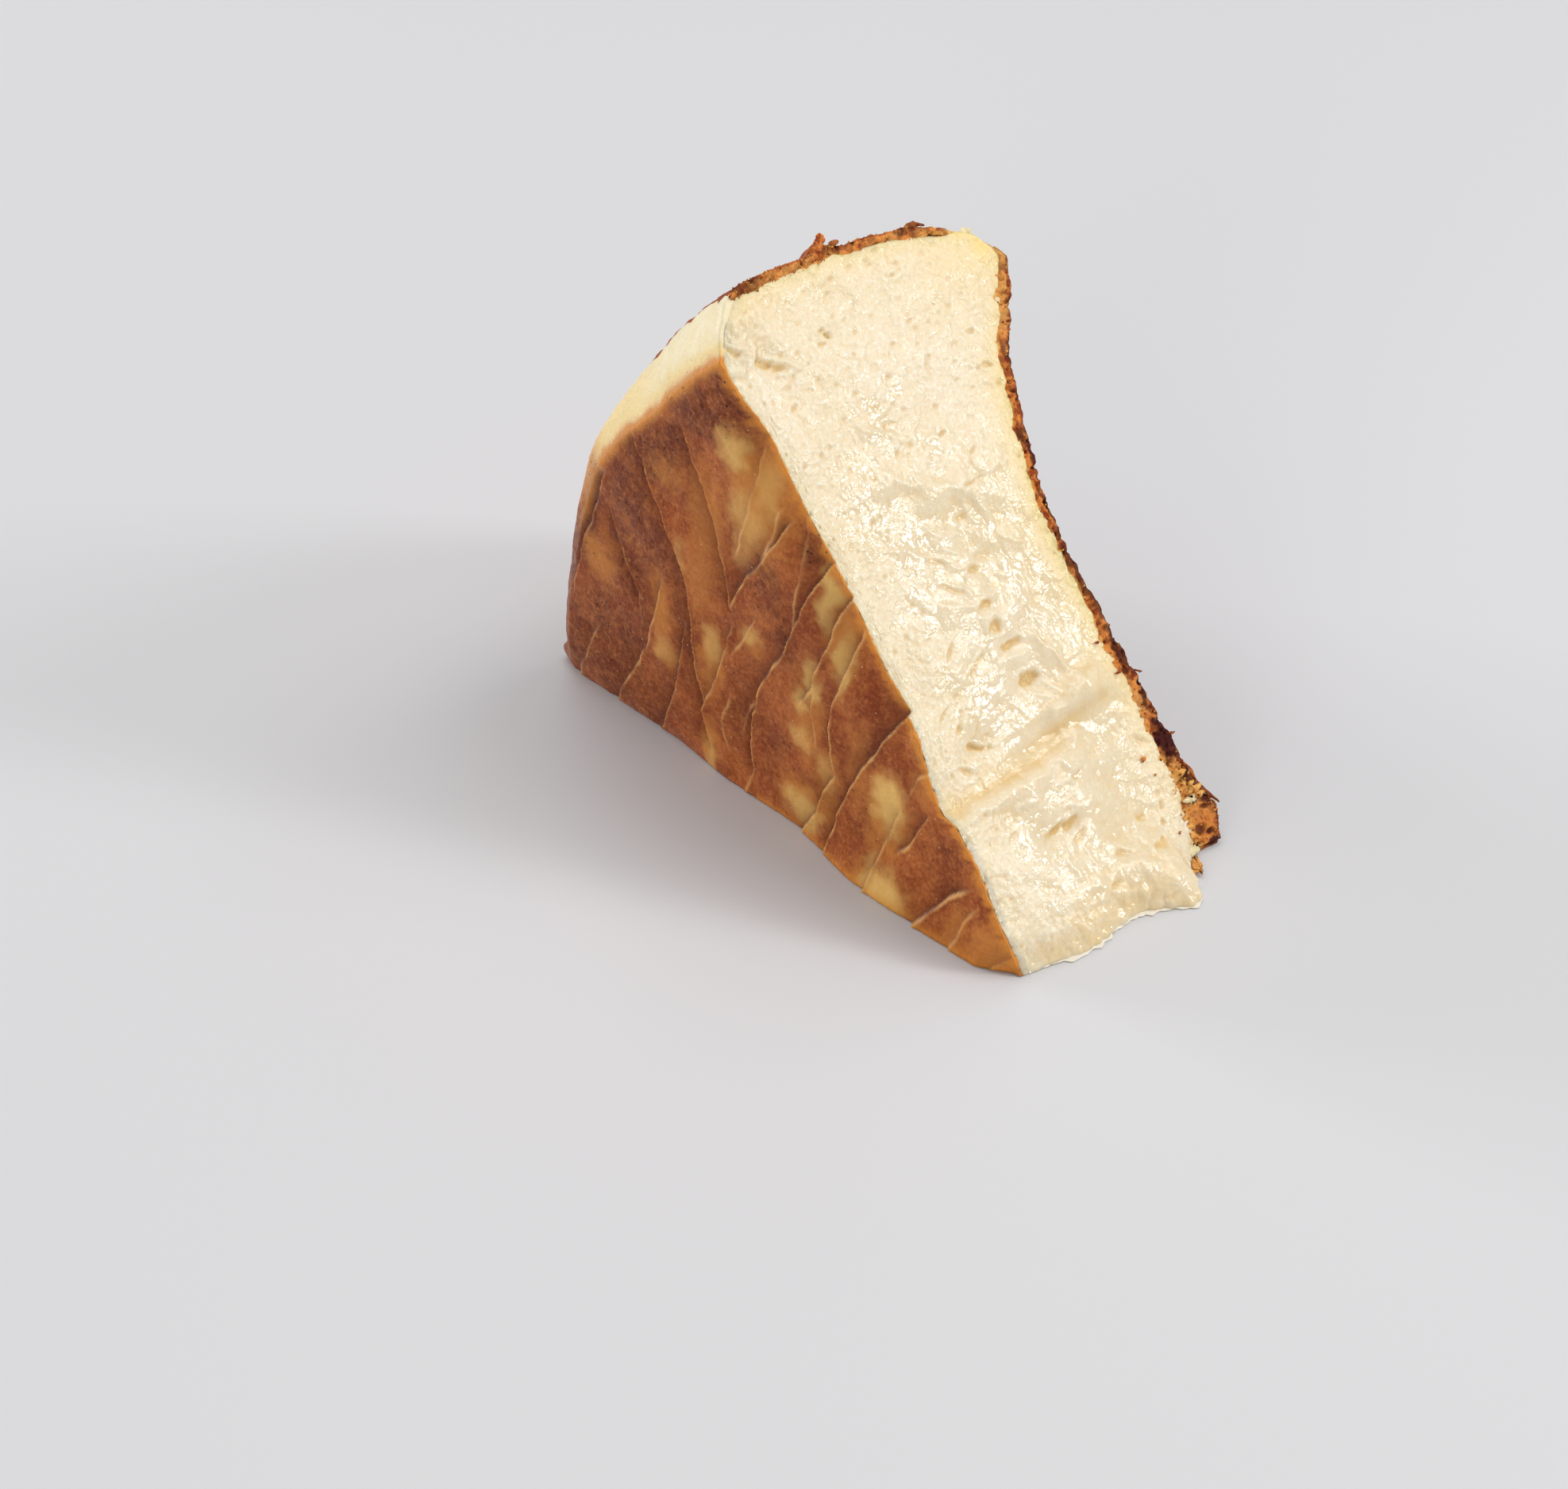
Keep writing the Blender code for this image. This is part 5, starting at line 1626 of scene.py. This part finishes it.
# %% Make the slivers and the nubs
BIT_STEPS = 16
BIT_RING = 10
SLIVERS = (
    # route in (radius, height, out of the cut), width, share of the width it is thick, tone
    (((13, 45.6, 0.2), (9.5, 46.1, 0.6), (5.9, 46.7, 0.8)), 0.8, 0.5, 0.15),
    (((16, 45.3, 0.3), (13, 45.8, 0.6), (10.6, 46.0, 0.6)), 0.6, 0.6, 0.3),
    (((20.2, 45.2, 0.3), (19.7, 46.1, 0.6), (19.6, 46.9, 0.5)), 0.4, 0.8, 0.2),
    (((31.6, 44.4, 0.3), (30.9, 45.0, 0.6), (30.6, 45.7, 0.4)), 0.4, 0.8, 0.2),
    (((33.2, 42.7, 0.2), (32.5, 41.5, 0.6), (32.6, 40.4, 0.4)), 0.5, 0.7, 0.4),
    (((38.0, 41.2, 0.2), (38.3, 40.2, 0.4)), 0.5, 0.8, 0.4),
    (((111.0, 23.0, 0.1), (111.8, 25.0, 0.4), (113.4, 27.3, 0.2)), 1.8, 0.3, 0.5),
    (((110.6, 27.0, 0.1), (111.6, 28.0, 0.3), (112.2, 29.6, 0.1)), 1.0, 0.4, 0.3),
    (((109.4, 41.5, 0.1), (109.6, 43.6, 0.4), (108.6, 46.0, 0.2)), 0.9, 0.5, 0.2),
    (((92, 53.4, 0.1), (94.4, 55.9, 0.5), (97, 57.0, 0.2)), 0.8, 0.5, 0.4),
    (((-0.5, 39.9, 0.4), (-0.6, 38.3, 0.6), (-0.3, 36.5, 0.4)), 2.5, 0.4, 0.75),
    (((18.2, 39.3, 0.2), (18.6, 38.5, 0.3)), 0.8, 0.7, 0.6),
    (((5.2, 39.2, 0.2), (5.4, 38.7, 0.3)), 0.45, 0.8, 0.6),
    (((15.2, 39.9, 0.2), (15.4, 39.5, 0.3)), 0.35, 0.8, 0.6),
    (((8.5, 45.5, 0.3), (8.9, 45.1, 0.7), (9.2, 44.6, 0.4)), 1.1, 0.8, 1.0),
    (((9.4, 45.2, 0.3), (10.0, 45.0, 0.8), (10.6, 44.4, 0.4)), 1.3, 0.8, 1.0),
    (((10.7, 44.9, 0.3), (11.2, 44.7, 0.7), (11.7, 44.3, 0.4)), 1.0, 0.8, 1.0),
    (((9.6, 44.2, 0.3), (10.2, 43.9, 0.6), (10.7, 43.3, 0.3)), 1.0, 0.8, 0.9),
    (((12.9, 44.4, 0.2), (13.4, 44.0, 0.6), (13.7, 43.4, 0.3)), 1.2, 0.8, 0.9),
    (((14.4, 44.3, 0.2), (14.8, 43.8, 0.5), (15.6, 43.3, 0.3)), 1.1, 0.8, 0.8),
)
NUBS = (
    (((1.9, 38.4, 0.0), (1.2, 40.1, 0.4), (0.3, 41.8, 0.4)), 1.8, 0.5, 0),
    (((9.0, 44.3, 0.3), (8.9, 43.5, 0.7), (8.8, 42.5, 0.4)), 1.6, 0.6, 0),
    (((102.6, 52.4, -1.2), (104.2, 52.9, -0.8), (105.7, 53.2, -0.7)), 2.0, 0.5, 0),
    (((103.0, 54.0, -1.2), (104.0, 53.6, -0.8), (105.2, 54.3, -0.6)), 1.1, 0.6, 0),
)


def make_bits(name, bits, finish):
    rng = np.random.default_rng(120)
    points, faces, tones = [], [], []
    share = np.linspace(0, 1, BIT_STEPS)
    around = np.linspace(0, 2 * math.pi, BIT_RING, endpoint=False)
    for route, wide, flat, tone in bits:
        line, so_far = smooth_line(route, samples=12)
        radius, height, out = (np.interp(share * so_far[-1], so_far, axis) for axis in line.T)
        run = np.hypot(np.gradient(radius), np.gradient(height))
        half = 0.5 * wide * np.sin(math.pi * (0.06 + 0.88 * share)) ** 0.7
        half = half[:, None] * rng.uniform(0.7, 1.2, (BIT_STEPS, BIT_RING))
        sideways = half * np.cos(around)
        radius = radius[:, None] - sideways * (np.gradient(height) / run)[:, None]
        height = height[:, None] + sideways * (np.gradient(radius[:, 0]) / run)[:, None]
        out = out[:, None] + flat * half * np.sin(around)
        turn = np.full(radius.size, SLICE_ANGLE)
        start = len(points) * BIT_STEPS * BIT_RING
        # A bit may lie past the tip, where the cake has no radius.
        kept = np.maximum(radius.ravel(), 0.05)
        laid = lay_down(kept, turn, height.ravel(), cut=out.ravel())
        laid[:, 1] += radius.ravel() - kept
        points.append(laid)
        faces.extend(tuple(start + corner for corner in face) for face in tube(BIT_STEPS, BIT_RING))
        tones.extend([tone] * radius.size)
    tone = np.array(tones, float)
    marks = {
        "edge": np.ones_like(tone),
        "inside": np.full_like(tone, 0.6),
        "char": np.clip(1 - 2 * tone, 0, 1),
        "toasted": np.clip(2 * tone - 1, 0, 1),
        "wet": np.zeros_like(tone),
        "yolk": np.full_like(tone, 0.5),
    }
    return new_piece(name, np.vstack(points), faces, finish, marks)


crust_slivers = make_bits("crust_slivers", SLIVERS, burnt_crust)
dress(crust_slivers)
cheese_nubs = make_bits("cheese_nubs", NUBS, soft_cheese)
dress(cheese_nubs)

# %% [markdown]
# ## Crumbs
#
# The opened crust sheds crumbs, hundreds of them, so they are scattered and not placed by hand.
# Geometry Nodes puts a small lumpy grain on random points of the ribbon, most where its mark
# `shed` is high. The result is baked to a plain mesh.

# %% Scatter the crumbs with Geometry Nodes
CRUMB_INPUTS = {"Density": 1.4e6, "Size": 0.26 * MM, "Seed": 5, "Material": burnt_crust}
CRUMB_SOCKETS = {
    "Geometry": "Geometry",
    "Density": "Float",
    "Size": "Float",
    "Seed": "Int",
    "Material": "Material",
}
# The colour marks of a crumb lie between these values.
CRUMB_MARKS = {"inside": (0.2, 1.0), "edge": (0.8, 1.0), "toasted": (-0.4, 0.7)}


def new_socket(tree, in_out, name, kind):
    tree.interface.new_socket(name, in_out=in_out, socket_type="NodeSocket" + kind)


def random_value(tree, kind, low, high, seed):
    """A random vector or float for each crumb. The node's sockets are known by number."""
    first = 0 if kind == "FLOAT_VECTOR" else 2
    limits = {first: low, first + 1: high, 8: seed}
    return add(tree, "FunctionNodeRandomValue", limits, data_type=kind).outputs[first // 2]


def crumb_tree():
    """Points on the surface, a grain on each, then real geometry with its finish."""
    tree = bpy.data.node_groups.new("crumbs", "GeometryNodeTree")
    for name, kind in CRUMB_SOCKETS.items():
        new_socket(tree, "INPUT", name, kind)
    new_socket(tree, "OUTPUT", "Geometry", "Geometry")
    given = tree.nodes.new("NodeGroupInput").outputs

    shed = add(tree, "GeometryNodeInputNamedAttribute", {"Name": "shed"}, data_type="FLOAT")
    density = number(tree, "MULTIPLY", shed.outputs["Attribute"], given["Density"])
    places = {"Mesh": given["Geometry"], "Density": density, "Seed": given["Seed"]}
    spread = add(tree, "GeometryNodeDistributePointsOnFaces", places)

    grain_mesh = add(tree, "GeometryNodeMeshIcoSphere", {"Radius": given["Size"], "Subdivisions": 1})
    put = {
        "Points": spread.outputs["Points"],
        "Instance": grain_mesh.outputs["Mesh"],
        "Rotation": random_value(tree, "FLOAT_VECTOR", (0, 0, 0), (6.28, 6.28, 6.28), 3),
        "Scale": random_value(tree, "FLOAT_VECTOR", (0.4, 0.4, 0.4), (1.2, 1.1, 1.0), 0),
    }
    crumbs = add(tree, "GeometryNodeInstanceOnPoints", put).outputs["Instances"]
    for seed, (name, limits) in enumerate(CRUMB_MARKS.items(), start=11):
        tone = random_value(tree, "FLOAT", *limits, seed)
        stored = {"Geometry": crumbs, "Name": name, "Value": tone}
        kept = add(tree, "GeometryNodeStoreNamedAttribute", stored, data_type="FLOAT", domain="INSTANCE")
        crumbs = kept.outputs["Geometry"]
    real = add(tree, "GeometryNodeRealizeInstances", {"Geometry": crumbs}).outputs["Geometry"]
    dressed = add(tree, "GeometryNodeSetMaterial", {"Geometry": real, "Material": given["Material"]})
    group_output = tree.nodes.new("NodeGroupOutput")
    tree.links.new(dressed.outputs["Geometry"], group_output.inputs["Geometry"])
    return tree


def baked(name, ground, tree, inputs):
    """Runs the tree on a copy of the ground and keeps the result as a plain mesh."""
    source = bpy.data.objects.new("source", ground.data)
    bpy.context.scene.collection.objects.link(source)
    modifier = source.modifiers.new("nodes", "NODES")
    modifier.node_group = tree
    for socket in tree.interface.items_tree:
        if socket.in_out == "INPUT" and socket.name in inputs:
            modifier[socket.identifier] = inputs[socket.name]
    seen = source.evaluated_get(bpy.context.evaluated_depsgraph_get())
    mesh = bpy.data.meshes.new_from_object(seen)
    bpy.data.objects.remove(source)
    piece = bpy.data.objects.new(name, mesh)
    bpy.context.scene.collection.objects.link(piece)
    print(f"{name}: {len(mesh.polygons)} faces")
    return piece


crust_crumbs = baked("crust_crumbs", crust_edge, crumb_tree(), CRUMB_INPUTS)
dress(crust_crumbs)

# %% [markdown]
# ## The film round the toe
#
# Where the soft middle ran out, a thin wet film of it lies on the ground. It is a closed strip
# along the line where the toe meets the ground, less than half a millimetre thick.

# %% Make the film
FILM_COLUMNS = 260
FILM_SPAN = (1.5, 37.5)
# Cross-section: share of the width outwards, height in millimetres.
FILM_SHAPE = ((-0.6, 0.0), (-0.6, 0.25), (-0.1, 0.22), (0.2, 0.15), (0.5, 0.1), (0.85, 0.06), (1.0, 0.0))


def film_finish():
    material, tree, shader = new_finish("thin_cheese")
    keep_even(shader, {"Base Color": srgb(244, 238, 222), "Roughness": 0.08})
    ripple = raised(tree, speckle(tree, 1.0, detail=1), 0.1, 0.8)
    tree.links.new(ripple, shader.inputs["Normal"])
    return material


def make_film():
    height = np.linspace(*FILM_SPAN, FILM_COLUMNS)
    reach = toe_reach(height)
    slope = np.gradient(reach, height)
    away = np.column_stack([-slope, np.ones_like(slope)]) / np.hypot(slope, 1)[:, None]
    wide = np.clip(0.6 + hills(height, 0, (0.9, 4, 111), (0.5, 1.3, 112)), 0.2, 1.6)
    wide *= band(height, FILM_SPAN[0], 8, 33, FILM_SPAN[1]) * 0.8 + 0.2
    shape = np.array(FILM_SHAPE)
    out = wide[:, None] * shape[:, 0]
    x = height[:, None] + out * away[:, :1]
    y = -reach[:, None] - out * away[:, 1:]
    z = np.broadcast_to(shape[:, 1], x.shape)
    points = np.column_stack([x.ravel() + CAKE_PLACE[0], y.ravel() + CAKE_PLACE[1], z.ravel()])
    return new_piece("toe_film", points, tube(FILM_COLUMNS, len(shape)), film_finish())


toe_film = make_film()
dress(toe_film)

# %% Write the two boxes, and finish
made_low, made_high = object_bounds()
below = [round((cad - made) / MM, 1) for cad, made in zip(cad_low, made_low)]
above = [round((made - cad) / MM, 1) for cad, made in zip(cad_high, made_high)]
print("Grown beyond the CAD box, in mm:", below, "on the low side and", above, "on the high side")
